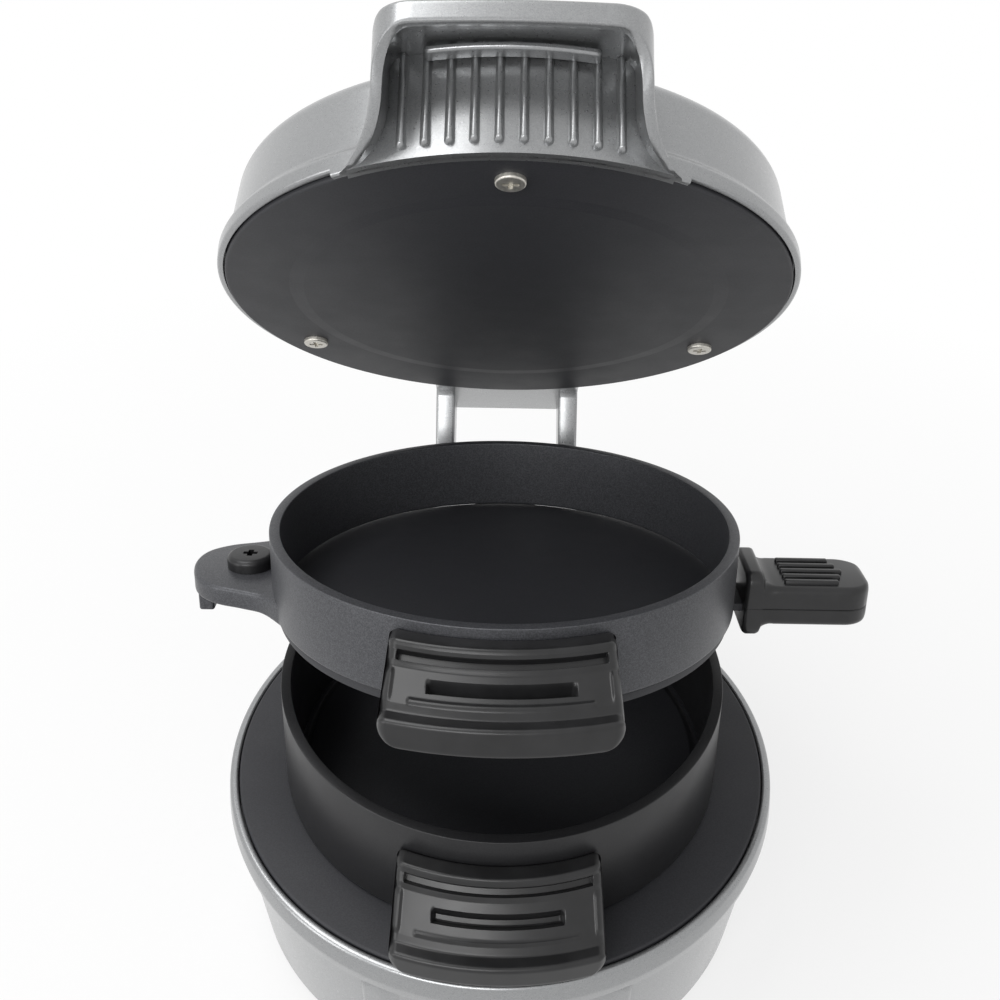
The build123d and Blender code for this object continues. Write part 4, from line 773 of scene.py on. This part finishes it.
# -------------------------------------------------------------- front handles
LOWER_DROP = 7.0          # from the ring's rim down to the handle's top, and the handle's height
LOWER_HEIGHT = 18.6
EGG_DROP = 2.2
EGG_HEIGHT = 15.8
HANDLE_TOP_HALF_W = 22.6
HANDLE_FOOT_HALF_W = 23.9
HANDLE_CORNER = 4.0
RAIL_R = RING_R + 4.8
BROW_R = RING_R + 7.2
LIP_R = 74.0
LIP_H = 6.4
GROOVE = (1.8, 3.2, 1.7)  # from, to below the top, and its depth
CHEEK_W = 1.9
CHEEK_PROUD = 0.5         # raised border down both sides of the face
SLOT_HALF_W = 14.5
SLOT_H = 3.2
SLOT_D = 2.8
SLOT_BEVEL = 1.5          # long bevel along the slot's upper side
BEAD_HALF_W = 18.5
BEAD_PROUD = 0.35
HANDLE_SCREW = (18.0, -61.9)   # place of a handle's screws, right and left of the middle
LOWER_SCREW_L = 9.0       # their shanks
EGG_SCREW_L = 6.0


def ring_handle(ring_z0, ring_z1, draft, drop, height, name, body, node):
    """Moulded handle: top rail, groove, pressed face with a slot and a fine bead, finger lip."""
    top = ring_z1 - drop
    foot = top - height
    ledge = foot + LIP_H
    brow_z = top - GROOVE[1] - 1.2
    hollow = (LIP_R - 4.6, ledge + 1.3)

    def wall_r(z):
        return RING_R + draft * (ring_z1 - z) / (ring_z1 - ring_z0) + RING_FIT

    profile = refined(rounded(
        (wall_r(foot), foot, 0.4), (LIP_R, foot, 1.1), (LIP_R, ledge, 1.0), (LIP_R - 3.4, ledge, 0.8),
        (*hollow, 0.8), (BROW_R, brow_z, 1.0), (BROW_R - 0.7, top - GROOVE[1], 0.6),
        (RAIL_R + 0.2, top - GROOVE[0], 0.3), (RAIL_R, top - 0.9, 0.3), (RAIL_R - 0.5, top, 0.9),
        (wall_r(top), top, 0.4), steps=5), 0.34)
    face_run = (hollow[0] - BROW_R, hollow[1] - brow_z)
    slot_z = brow_z + face_run[1] * 0.42
    bead_z = brow_z + face_run[1] * 0.90
    lean = abs(face_run[1]) / sqrt(face_run[0] ** 2 + face_run[1] ** 2)

    def half_w(z):
        """Half-width of the handle at a height, with its rounded lower corners."""
        spread = HANDLE_FOOT_HALF_W - HANDLE_TOP_HALF_W
        width = HANDLE_TOP_HALF_W + spread * (top - z) / (height - HANDLE_CORNER)
        low = min(HANDLE_CORNER, max(0.0, foot + HANDLE_CORNER - z))
        return min(width, HANDLE_FOOT_HALF_W) - HANDLE_CORNER + sqrt(HANDLE_CORNER ** 2 - low ** 2)

    def relief(point, share):
        """How far the surface stands out: groove, slot and bead."""
        if point.x < RAIL_R - 1.5:
            return 0.0
        x = share * half_w(point.y)
        below = top - point.y
        middle = (GROOVE[0] + GROOVE[1]) / 2
        groove = window(below - middle, (GROOVE[1] - GROOVE[0]) / 2 + 0.1, 0.35)
        out = -GROOVE[2] * groove * window(x, half_w(point.y) - CHEEK_W, 0.5)
        if hollow[1] - 0.2 < point.y < brow_z + 0.2:
            down = (slot_z - point.y) / lean
            bevel = min(1.0, max(0.0, (down + SLOT_H / 2) / SLOT_BEVEL))
            pocket = bevel if down < 0.2 else window(down - 0.2, SLOT_H / 2 - 0.2, 0.35)
            out -= SLOT_D * pocket * window(x, SLOT_HALF_W + 0.3, 1.3)
            face = window(point.y - (hollow[1] + brow_z) / 2, (brow_z - hollow[1]) / 2 + 0.2, 1.2)
            out += CHEEK_PROUD * face * (1 - window(x, half_w(point.y) - CHEEK_W + 0.5, 0.8))
            out += BEAD_PROUD * window(x, BEAD_HALF_W, 0.8) * window(point.y - bead_z, 0.5, 0.5)
        return out

    def place(u, v, share):
        x = share * half_w(v)
        return x, -sqrt(u * u - x * x), v

    form = Form()
    edge = 1.7 / HANDLE_TOP_HALF_W
    fine = [i * 0.008 for i in range(-125, 126)]
    form.swept(profile, edge, 1.7, fine, relief, place)
    form.finish(name, body, node)


def handle_screws(foot, length, name, body, node):
    """Two screws up into a handle, their heads sunk in its foot."""
    form = Form()
    for x in (-HANDLE_SCREW[0], HANDLE_SCREW[0]):
        form.screw(x, HANDLE_SCREW[1], foot + 1.6, head_r=3.1, head_h=1.5, shank_r=1.6, length=length,
                   up=-1, arm=1.7, slot=0.5)
    form.finish(name, body, node)


# --------------------------------------------------------------- cooking plate
COOK_R = 54.5
COOK_ROOT_X = 53.3        # where the lug and the tongue start, inside the disc
LUG_R = 9.0
LUG_ROOT_HALF_W = 10.8
TONGUE_END_X = 73.5
TONGUE_HALF_W = 6.0


def cooking_plate():
    """Thin plate with softened edges, a pivot lug and the tongue inside its handle."""
    form = Form()
    disc = circle(COOK_R, count=240)
    form.slab(disc, COOK_Z0, COOK_Z0 + COOK_PLATE_T, 0.2, upright)
    arc = [Vector((PIVOT_X + LUG_R * cos(radians(a)), LUG_R * sin(radians(a)))) for a in range(70, 291, 5)]
    lug = [Vector((-COOK_ROOT_X, LUG_ROOT_HALF_W))] + arc + [Vector((-COOK_ROOT_X, -LUG_ROOT_HALF_W))]
    form.slab(lug, COOK_Z0, COOK_Z0 + COOK_PLATE_T, 0.45, upright)
    tongue = rounded((COOK_ROOT_X, -TONGUE_HALF_W, 0), (TONGUE_END_X, -TONGUE_HALF_W, 1),
                     (TONGUE_END_X, TONGUE_HALF_W, 1), (COOK_ROOT_X, TONGUE_HALF_W, 0))
    form.slab(tongue, COOK_Z0, COOK_Z0 + COOK_PLATE_T, 0.3, upright)
    form.finish("swing_plate", "cooking_plate", "cooking_plate")


# ----------------------------------------------------------------- side handle
FLANGE_X = 57.5
FLANGE_T = 4.2
FLANGE_HALF_H = 8.3
HANDLE_L = 30.5
GRIP_HALF_H = 5.0
GRIP_HALF_W = 9.3
NOSE_R = 6.5
NECK_R = 3.2
FLANGE_ROUND = 1.2
GRIP_EDGE = 1.6
PARTING = -0.6            # height of the parting line, from the grip's middle
GRIP_Z = COOK_Z0 + COOK_PLATE_T / 2 + 1.8
RIDGE_START = 9.5
RIDGE_L = 15.0


def quarter(share):
    """Rise of a quarter circle, 0 to 1, as its run goes from 0 to 1."""
    return 1 - sqrt(max(0.0, 1 - min(1.0, max(0.0, share)) ** 2))


def grip_section(along):
    """Half-width, half-height and corner radius of the side handle at a place along it."""
    half_w = GRIP_HALF_W - NOSE_R * quarter((along - HANDLE_L + NOSE_R) / NOSE_R)
    half_w -= FLANGE_ROUND * quarter(1 - along / FLANGE_ROUND)
    if along <= FLANGE_T:
        half_h = FLANGE_HALF_H - FLANGE_ROUND * (quarter(1 - along / FLANGE_ROUND)
                                                 + quarter(1 - (FLANGE_T - along) / FLANGE_ROUND))
    else:
        step = FLANGE_HALF_H - FLANGE_ROUND - GRIP_HALF_H
        half_h = GRIP_HALF_H + step * quarter(1 - (along - FLANGE_T) / NECK_R)
    half_h -= GRIP_EDGE * quarter((along - HANDLE_L + GRIP_EDGE) / GRIP_EDGE)
    corner = 1.7 + 1.3 * min(1.0, max(0.0, (FLANGE_T + NECK_R - along) / NECK_R))
    return half_w, half_h, min(corner, half_w * 0.95, half_h * 0.95)


def side_handle():
    """Flange that runs hollow into a ridged grip, with a parting line and a low pad below."""
    form = Form()
    bend = [radians(a) for a in range(0, 91, 10)]
    stations = [FLANGE_ROUND * (1 - cos(t)) for t in bend]
    stations += [FLANGE_T - FLANGE_ROUND * cos(t) for t in bend]
    stations += [FLANGE_T + NECK_R * (1 - cos(t)) for t in bend[1:]]
    stations += [8.5 + k * 1.5 for k in range(10)]
    stations += [HANDLE_L - NOSE_R + NOSE_R * sin(radians(a)) for a in range(5, 90, 5)] + [HANDLE_L - 0.01]
    rows = []
    for along in stations:
        a, b, corner = grip_section(along)
        seam = 0.25 if along > FLANGE_T else 0.1
        low, high = PARTING - seam, PARTING + seam
        line = rounded((-a, -b, corner), (a, -b, corner), (a, low, 0), (a - seam, PARTING, 0), (a, high, 0),
                       (a, b, corner), (-a, b, corner), (-a, high, 0), (seam - a, PARTING, 0), (-a, low, 0),
                       steps=6)
        rows.append([(FLANGE_X + along, p.x, GRIP_Z + p.y) for p in line])
    form.skin(rows, ring=True, cap=True)
    ridge = Form()
    ridge.slab(rounded((-0.95, -1.5, 0), (0.95, -1.5, 0), (0.72, 0.9, 0.5), (-0.72, 0.9, 0.5), steps=5),
               0.0, RIDGE_L, 0.5, lambda u, v, depth: (depth, u, v))
    grown = STAGGERED_ROW.grown(ridge.seed(), LOOKS["black_plastic"], Pitch=3.0, Length=RIDGE_L, Stagger=0.35)
    form.add(grown, Matrix.Translation((FLANGE_X + RIDGE_START, 0, GRIP_Z + GRIP_HALF_H)))
    pad = rounded((FLANGE_X + 9.5, -5.5, 1.2), (FLANGE_X + 24.5, -5.5, 1.2), (FLANGE_X + 24.5, 5.5, 1.2),
                  (FLANGE_X + 9.5, 5.5, 1.2))
    form.slab(pad, GRIP_Z - GRIP_HALF_H - 0.8, GRIP_Z, 0.4, upright)
    form.finish("side_handle", "cooking_plate", "plate_handle")


# ----------------------------------------------------------------------- cover
COVER_PLATE_R = 68.6
COVER_SCREW_R = 60.0      # circle that the plate's screws stand on
COVER_SCREW_TURNS = (-90, 30, 150)
COVER_BORE_R = 63.4
COVER_SEAT_R = 68.9
COVER_RIM_R = 70.4
COVER_FOOT = COVER_Z - 0.2
RECESS_H = 1.2
HOOD_HALF_W = 26.6
HOOD_FLARE = 7.9
HOOD_BELL_H = 12.5
FLARE_START_Y = -78.0     # the foot's flare grows from here towards the dome
FLARE_RUN = 16.0
FLARE_POWER = 1.7
HOOD_ROOT_Y = -62.0
HOOD_REACH = 86.28
HOOD_CORNER_R = 8.5
HOOD_FRONT_BOW = 0.6      # the front arches out by this much
HOOD_TOP = COVER_Z + 22.6
HOOD_RISE = radians(6.0)
HOOD_LIP_Z = COVER_Z + 17.6
HOOD_WALL = 2.3
SHOULDER_R = (5.0, 1.3)   # roof's round edge at the sides and in front
FRONT_START = 74.0        # the one passes into the other from here, over this run
FRONT_RUN = 9.0
MOUTH_Y = -61.8
MOUTH_RUN = 21.9
MOUTH_POWER = 2.1
CORNER_SOFTNESS = 5       # stations over which the mouth's upper corners are rounded
GRILLE_R = 71.0
GRILLE_T = 3.0
RECESS_HALF_W = 36.0      # the rim is full height within this, in front


def cover_outline(turn):
    """Section of the cover's dome; away from the hood its rim ends a little higher."""
    x = COVER_RIM_R * cos(turn)
    in_front = sin(turn) < 0 and abs(x) < RECESS_HALF_W
    foot = COVER_FOOT if in_front else COVER_FOOT + RECESS_H
    z = COVER_Z
    return rounded(
        (0, z + 27.2, 0), (12, z + 27.2, 5), (57.5, z + 23.8, 4), (COVER_BORE_R, z + 18.5, 4),
        (COVER_BORE_R, z + 5, 0.4), (COVER_BORE_R, z + PLATE_T, 0.2), (COVER_SEAT_R, z + PLATE_T, 0.2),
        (COVER_SEAT_R, foot, 0.25), (COVER_RIM_R, foot, 0.7),
        (COVER_RIM_R, z + 4.4, 1.6), (68.4, z + 6.2, 2.4), (66.2, z + 22.5, 5.5), (59.5, z + 26.3, 9),
        (12, z + 29.4, 20), (0, z + 29.4, 0), steps=7)


def flare(y, z):
    """How far the hood's foot flares out at a place."""
    up = (z - COVER_FOOT) / HOOD_BELL_H
    bell = 1 - sqrt(1 - (1 - up) ** 2) if up < 1 else 0.0
    run = (y - FLARE_START_Y) / FLARE_RUN
    plan = min(1.0, max(0.0, run)) ** FLARE_POWER
    return HOOD_FLARE * min(bell, plan)


def roof_z(y):
    """Height of the hood's roof, which climbs towards the dome."""
    return HOOD_TOP + (y + HOOD_REACH) * tan(HOOD_RISE)


def mouth_z(y):
    """Height of the hood's lower edge at a place of its side."""
    run = min(1.0, max(0.0, (MOUTH_Y - y) / MOUTH_RUN))
    return COVER_FOOT + (HOOD_LIP_Z - COVER_FOOT) * run ** MOUTH_POWER


def hood_plan():
    """Places along the right half of the hood's plan, from beside the dome to the middle of its front."""
    corner_x = HOOD_HALF_W - HOOD_CORNER_R
    corner_y = HOOD_CORNER_R + HOOD_FRONT_BOW - HOOD_REACH
    line = [Vector((HOOD_HALF_W, HOOD_ROOT_Y + (corner_y - HOOD_ROOT_Y) * k / 40)) for k in range(40)]
    line += [Vector((corner_x + HOOD_CORNER_R * cos(radians(a)), corner_y - HOOD_CORNER_R * sin(radians(a))))
             for a in range(0, 90, 3)]
    line += [Vector((x, HOOD_FRONT_BOW * (x / corner_x) ** 2 - HOOD_REACH))
             for x in (corner_x * (1 - k / 20) for k in range(21))]
    return spaced(line, 60)


def root_radius(z):
    """Radius at which the hood's walls and roof end inside the dome."""
    up = z - COVER_Z
    if up < 3.4:
        return 69.2
    return 64.0 if up < 14 else max(55.0, 64.0 - (up - 14) * 1.2)


def hood_section(place, normal, front, low, root=False):
    """Section of the hood: ceiling, inner wall, rounded lower edge, outer wall, shoulder and roof."""
    across = 10

    def wall(deep, top_drop, round_r):
        """Outer or inner surface from the lower edge up to the middle of the roof."""
        top = roof_z(place.y) - top_drop
        line = []
        for k in range(13):
            share = k / 12
            line.append((deep, low + 0.6 + (top - round_r - low - 0.6) * share))
        for k in range(1, 7):
            turn = pi / 2 * k / 6
            line.append((deep + round_r * (1 - cos(turn)), top - round_r * (1 - sin(turn))))
        return line

    def spot(deep, z):
        x = place.x - normal.x * deep
        y = place.y - normal.y * deep
        x = max(0.0, x) + flare(y, z) * (1 if place.x > 20 else 0)
        if root:
            y = -sqrt(root_radius(z) ** 2 - x * x)
        return x, y, z

    shoulder = SHOULDER_R[0] + (SHOULDER_R[1] - SHOULDER_R[0]) * front
    outer = wall(0.0, 0.0, shoulder)
    inner = wall(HOOD_WALL, HOOD_WALL, max(0.9, shoulder - HOOD_WALL))
    edge = [(HOOD_WALL - 0.15, low + 0.2), (HOOD_WALL - 0.55, low), (0.55, low), (0.15, low + 0.2)]
    body = [spot(*p) for p in list(reversed(inner)) + edge + outer]

    def ceiling(end, drop):
        """Points from the end of a shoulder to the middle."""
        line = []
        for k in range(1, across + 1):
            x = end[0] * (1 - k / across)
            y = -sqrt(root_radius(end[2]) ** 2 - x * x) if root else end[1]
            line.append((x, y, roof_z(y) - drop if root else end[2]))
        return line

    return list(reversed(ceiling(body[0], HOOD_WALL))) + body + ceiling(body[-1], 0.0)


def hood(form):
    """The hooded handle of the cover, mirrored about the middle."""
    plan = hood_plan()
    edge = [mouth_z(place.y) for place in plan]
    rows = []
    for i, place in enumerate(plan):
        ahead = plan[min(i + 1, len(plan) - 1)] - plan[max(i - 1, 0)]
        normal = Vector((-ahead.y, ahead.x)).normalized()
        front = min(1.0, max(0.0, (-place.y - FRONT_START) / FRONT_RUN))
        front = front * front * (3 - 2 * front)
        reach = min(CORNER_SOFTNESS, i, len(plan) - 1 - i)
        low = sum(edge[i - reach:i + reach + 1]) / (2 * reach + 1)
        if i == 0:
            rows.append(hood_section(place, normal, front, COVER_FOOT, root=True))
        rows.append(hood_section(place, normal, front, low))
    for side in (1, -1):
        verts = form.skin([[(side * x, y, z) for x, y, z in row] for row in rows])
        first = verts[0]
        half = len(first) // 2
        for j in range(half - 1):
            form.mesh.faces.new((first[j], first[j + 1], first[-2 - j], first[-1 - j]))


def grille_wall(form):
    """Upright wall behind the ribs, just wider than the hood's inside."""
    rows = []
    heights = [COVER_FOOT + k for k in (0, 0.5, 1.5, 3, 4.5, 6, 7.5, 9, 12, 16, 20, 23.4)]
    for z in heights:
        half = HOOD_HALF_W
        for _ in range(8):
            half = HOOD_HALF_W - HOOD_WALL / 2 + flare(-sqrt(GRILLE_R ** 2 - half * half), z)
        line = [half * k / 24 for k in range(-24, 25)]
        front = [(x, -sqrt(GRILLE_R ** 2 - x * x), z) for x in line]
        back = [(x, -sqrt((GRILLE_R - GRILLE_T) ** 2 - x * x), z) for x in reversed(line)]
        rows.append(front + back)
    form.skin(rows, ring=True, cap=True)


RIB_COUNT = 10
RIB_PITCH = 4.75
RIB_R = 1.1
RIB_PROUD = 1.7           # how far a rib stands out of the wall
RIB_SINK = 0.4            # and how far it is let in
RIB_TAPER = 0.16          # share of its width that a rib loses towards its top
RIB_FOOT = COVER_Z + 1.7
RIB_TOP = COVER_Z + 22.0


def rib_seed():
    """One upright rib with a round foot, standing on the origin and facing -Y."""
    rib = Form()
    rows = []
    bend = [radians(a) for a in range(0, 181, 15)]
    lift = [RIB_R * (1 - cos(radians(a))) for a in range(0, 91, 15)]
    for z in lift + [6.0, 12.0, RIB_TOP - RIB_FOOT]:
        share = sqrt(max(0.0, 1 - (1 - min(1.0, z / RIB_R)) ** 2))
        taper = 1 - RIB_TAPER * min(1.0, z / 18)
        w = max(0.02, RIB_R * share * taper)
        rows.append([(w * cos(t), RIB_SINK - (RIB_SINK + RIB_PROUD * share) * sin(t), z) for t in bend])
    rib.skin(rows, ring=True, cap=True)
    return rib.seed()


BAR_Z = (COVER_Z + 19.2, COVER_Z + 20.8)
BAR_R = (72.4, 75.8)
BAR_HALF_W = 17.2
HOUSING_X = 21.8
LEG_X = (15.8, 21.5)      # the legs stand a little inside the housing's sides


def cover():
    """Silver dome, hooded handle with ribs and bar, hinge housing and legs."""
    form = Form()
    ends = [2 * pi - acos(RECESS_HALF_W / COVER_RIM_R), pi + acos(RECESS_HALF_W / COVER_RIM_R)]
    form.turned(cover_outline, 240, extra=[end + side * 0.001 for end in ends for side in (-1, 1)])
    hood(form)
    grille_wall(form)
    ribs = WALL_ROW.grown(rib_seed(), LOOKS["silver_plastic"], Count=RIB_COUNT, Pitch=RIB_PITCH,
                          Wall=GRILLE_R)
    form.add(ribs, Matrix.Translation((0, 0, RIB_FOOT)))
    bar = rounded((BAR_R[0], BAR_Z[0], 0.5), (BAR_R[1], BAR_Z[0], 0.8), (BAR_R[1], BAR_Z[1], 0.8),
                  (BAR_R[0], BAR_Z[1], 0.5))
    stations = [BAR_HALF_W * k / 20 for k in range(-19, 20)]
    form.slab(bar, -BAR_HALF_W, BAR_HALF_W, 0.9, round_the_front, stations)
    top = COVER_Z + 15.0
    roof = rounded((60.2, COVER_Z + 1.2, 0), (91.0, COVER_Z + 1.2, 1.2), (89.5, top - 8, 3), (81, top - 1, 4),
                   (60.2, top, 0))
    form.slab(roof, -HOUSING_X, HOUSING_X, 1.6, sideways)
    leg = rounded((71, COVER_Z + 5.2, 0.5), (72, COVER_Z - 0.8, 2), (HINGE.y - KNUCKLE_R, HINGE.z, 1.5),
                  (HINGE.y + KNUCKLE_R, HINGE.z, 1.5), (89.2, COVER_Z + 4.6, 0.5))
    for x0, x1 in (LEG_X, (-LEG_X[1], -LEG_X[0])):
        form.slab(leg, x0, x1, 0.9, sideways)
        form.rod(KNUCKLE_R, x0, x1, 0.5)
    form.finish("cover_dome", "cover", "cover_shell")


def cover_plate():
    """Upper heating plate, its middle barely raised."""
    form = Form()
    heating_plate(form, COVER_Z, up=-1, radius=COVER_PLATE_R, rise=0.35, bevel=2.5)
    form.finish("upper_plate", "cover", "cover_heating_plate")


def cover_plate_screws():
    """Three bright screws that hold the upper plate."""
    form = Form()
    for turn in COVER_SCREW_TURNS:
        x, y = COVER_SCREW_R * cos(radians(turn)), COVER_SCREW_R * sin(radians(turn))
        form.screw(x, y, COVER_Z, head_r=3.2, head_h=1.1, shank_r=1.6, length=9.0, up=-1, arm=1.75, slot=0.5)
    form.finish("plate_screws", "cover", "cover_plate_screws")


# --------------------------------------------------------- studio and camera
FOCAL_MM = 43.632         # on a sensor 36 mm wide
CAMERA_TILT = 36.15       # degrees below the horizon
CAMERA_ROLL = 0.993
CAMERA_REACH = 277.2      # from the camera to the middle of the object
AIM_Z = 128.6             # height of that middle
CENTRE_SHIFT = -0.0051    # the photograph's centre lies a little left of the lens axis
FLOOR_SIZE = 8.0          # metres
WHITE = (1.0, 1.0, 1.0)


def white_floor():
    """Pale floor that keeps the object's shadow and turns white to the camera further out."""
    look = Look("studio_floor")
    grain = look.noise(3.0)
    tone = look.mix(look.steps(grain, 0.3, 0.7), (0.90,) * 3, (0.92,) * 3)
    pale = look.surface(tone, 0.6, 0.0, look.bump(grain, 0.02, 0.05))
    glow = look.node("ShaderNodeEmission", {}, {"Color": (*WHITE, 1), "Strength": 1.0})
    path = [look.node("ShaderNodeLightPath", output=name)
            for name in ("Is Camera Ray", "Is Glossy Ray", "Is Transmission Ray")]
    seen = look.steps(path[0] + path[1] + path[2], 0.0, 1.0)
    away = look.node("ShaderNodeVectorMath", {"operation": "LENGTH"}, {0: look.where}, "Value")
    share = look.steps(away, 0.08, 0.40, 0.78, 1.0)
    return look.close(look.node("ShaderNodeMixShader", {}, {0: seen * share, 1: pale, 2: glow}))


def make_floor():
    """Large pale floor under the feet."""
    half = FLOOR_SIZE / 2
    mesh = bpy.data.meshes.new("floor")
    mesh.from_pydata([(-half, -half, 0), (half, -half, 0), (half, half, 0), (-half, half, 0)], [],
                     [(0, 1, 2, 3)])
    floor = bpy.data.objects.new("floor", mesh)
    bpy.context.scene.collection.objects.link(floor)
    mesh.materials.append(white_floor())


def make_world(level):
    """Even studio light; the backdrop is white to the camera, in gloss and through glass."""
    world = bpy.data.worlds.new("studio")
    bpy.context.scene.world = world
    world.use_nodes = True
    world.node_tree.nodes.clear()
    graph = Graph(world.node_tree)
    seen = [graph.node("ShaderNodeLightPath", output=name)
            for name in ("Is Camera Ray", "Is Glossy Ray", "Is Transmission Ray")]
    shown = seen[0] + seen[1] + seen[2]
    strength = graph.node("ShaderNodeMapRange", {"clamp": True}, {0: shown, 3: level, 4: 1.0})
    back = graph.node("ShaderNodeBackground", {}, {"Color": (*WHITE, 1), "Strength": strength})
    out = graph.tree.nodes.new("ShaderNodeOutputWorld")
    graph.tree.links.new(back.socket, out.inputs[0])


def softbox(name, place, size, power):
    """Rectangular soft light that looks at the middle of the object."""
    data = bpy.data.lights.new(name, "AREA")
    data.shape = "RECTANGLE"
    data.size, data.size_y = size
    data.energy = power
    lamp = bpy.data.objects.new(name, data)
    lamp.location = Vector(place)
    aim = Vector((0, 0, AIM_Z * MM)) - lamp.location
    lamp.rotation_euler = aim.to_track_quat("-Z", "Y").to_euler()
    bpy.context.scene.collection.objects.link(lamp)


def make_camera():
    """The photograph's camera."""
    data = bpy.data.cameras.new("camera")
    data.lens = FOCAL_MM
    data.shift_x = CENTRE_SHIFT
    data.clip_start = 0.01
    camera = bpy.data.objects.new("camera", data)
    tilt = radians(CAMERA_TILT)
    back = Vector((0, -cos(tilt), sin(tilt))) * CAMERA_REACH
    camera.matrix_world = (Matrix.Translation((Vector((0, 0, AIM_Z)) + back) * MM)
                           @ Matrix.Rotation(pi / 2 - tilt, 4, "X")
                           @ Matrix.Rotation(radians(CAMERA_ROLL), 4, "Z"))
    bpy.context.scene.collection.objects.link(camera)
    bpy.context.scene.camera = camera


dress_nodes()
base_shell()
feet()
lower_plate()
lower_ring()
egg_ring()
ring_handle(LOWER_Z0, LOWER_Z1, LOWER_DRAFT, LOWER_DROP, LOWER_HEIGHT, "lower_front_handle", "lower_ring",
            "lower_ring_handle")
ring_handle(EGG_Z0, EGG_Z1, 0.0, EGG_DROP, EGG_HEIGHT, "upper_front_handle", "egg_ring", "egg_ring_handle")
handle_screws(LOWER_Z1 - LOWER_DROP - LOWER_HEIGHT, LOWER_SCREW_L, "lower_screws", "lower_ring",
              "lower_handle_screws")
handle_screws(EGG_Z1 - EGG_DROP - EGG_HEIGHT, EGG_SCREW_L, "upper_screws", "egg_ring", "egg_handle_screws")
pivot_screw()
cooking_plate()
side_handle()
cover()
cover_plate()
cover_plate_screws()
make_floor()
make_world(level=0.32)
softbox("overhead", place=(-0.35, 0.10, 0.95), size=(0.7, 0.5), power=4.5)
softbox("left_front", place=(-0.9, -0.5, 0.40), size=(0.4, 0.7), power=2.6)
softbox("high_front", place=(-0.30, -0.90, 0.72), size=(0.6, 0.35), power=4.6)
make_camera()
bpy.context.scene.view_settings.view_transform = "Standard"
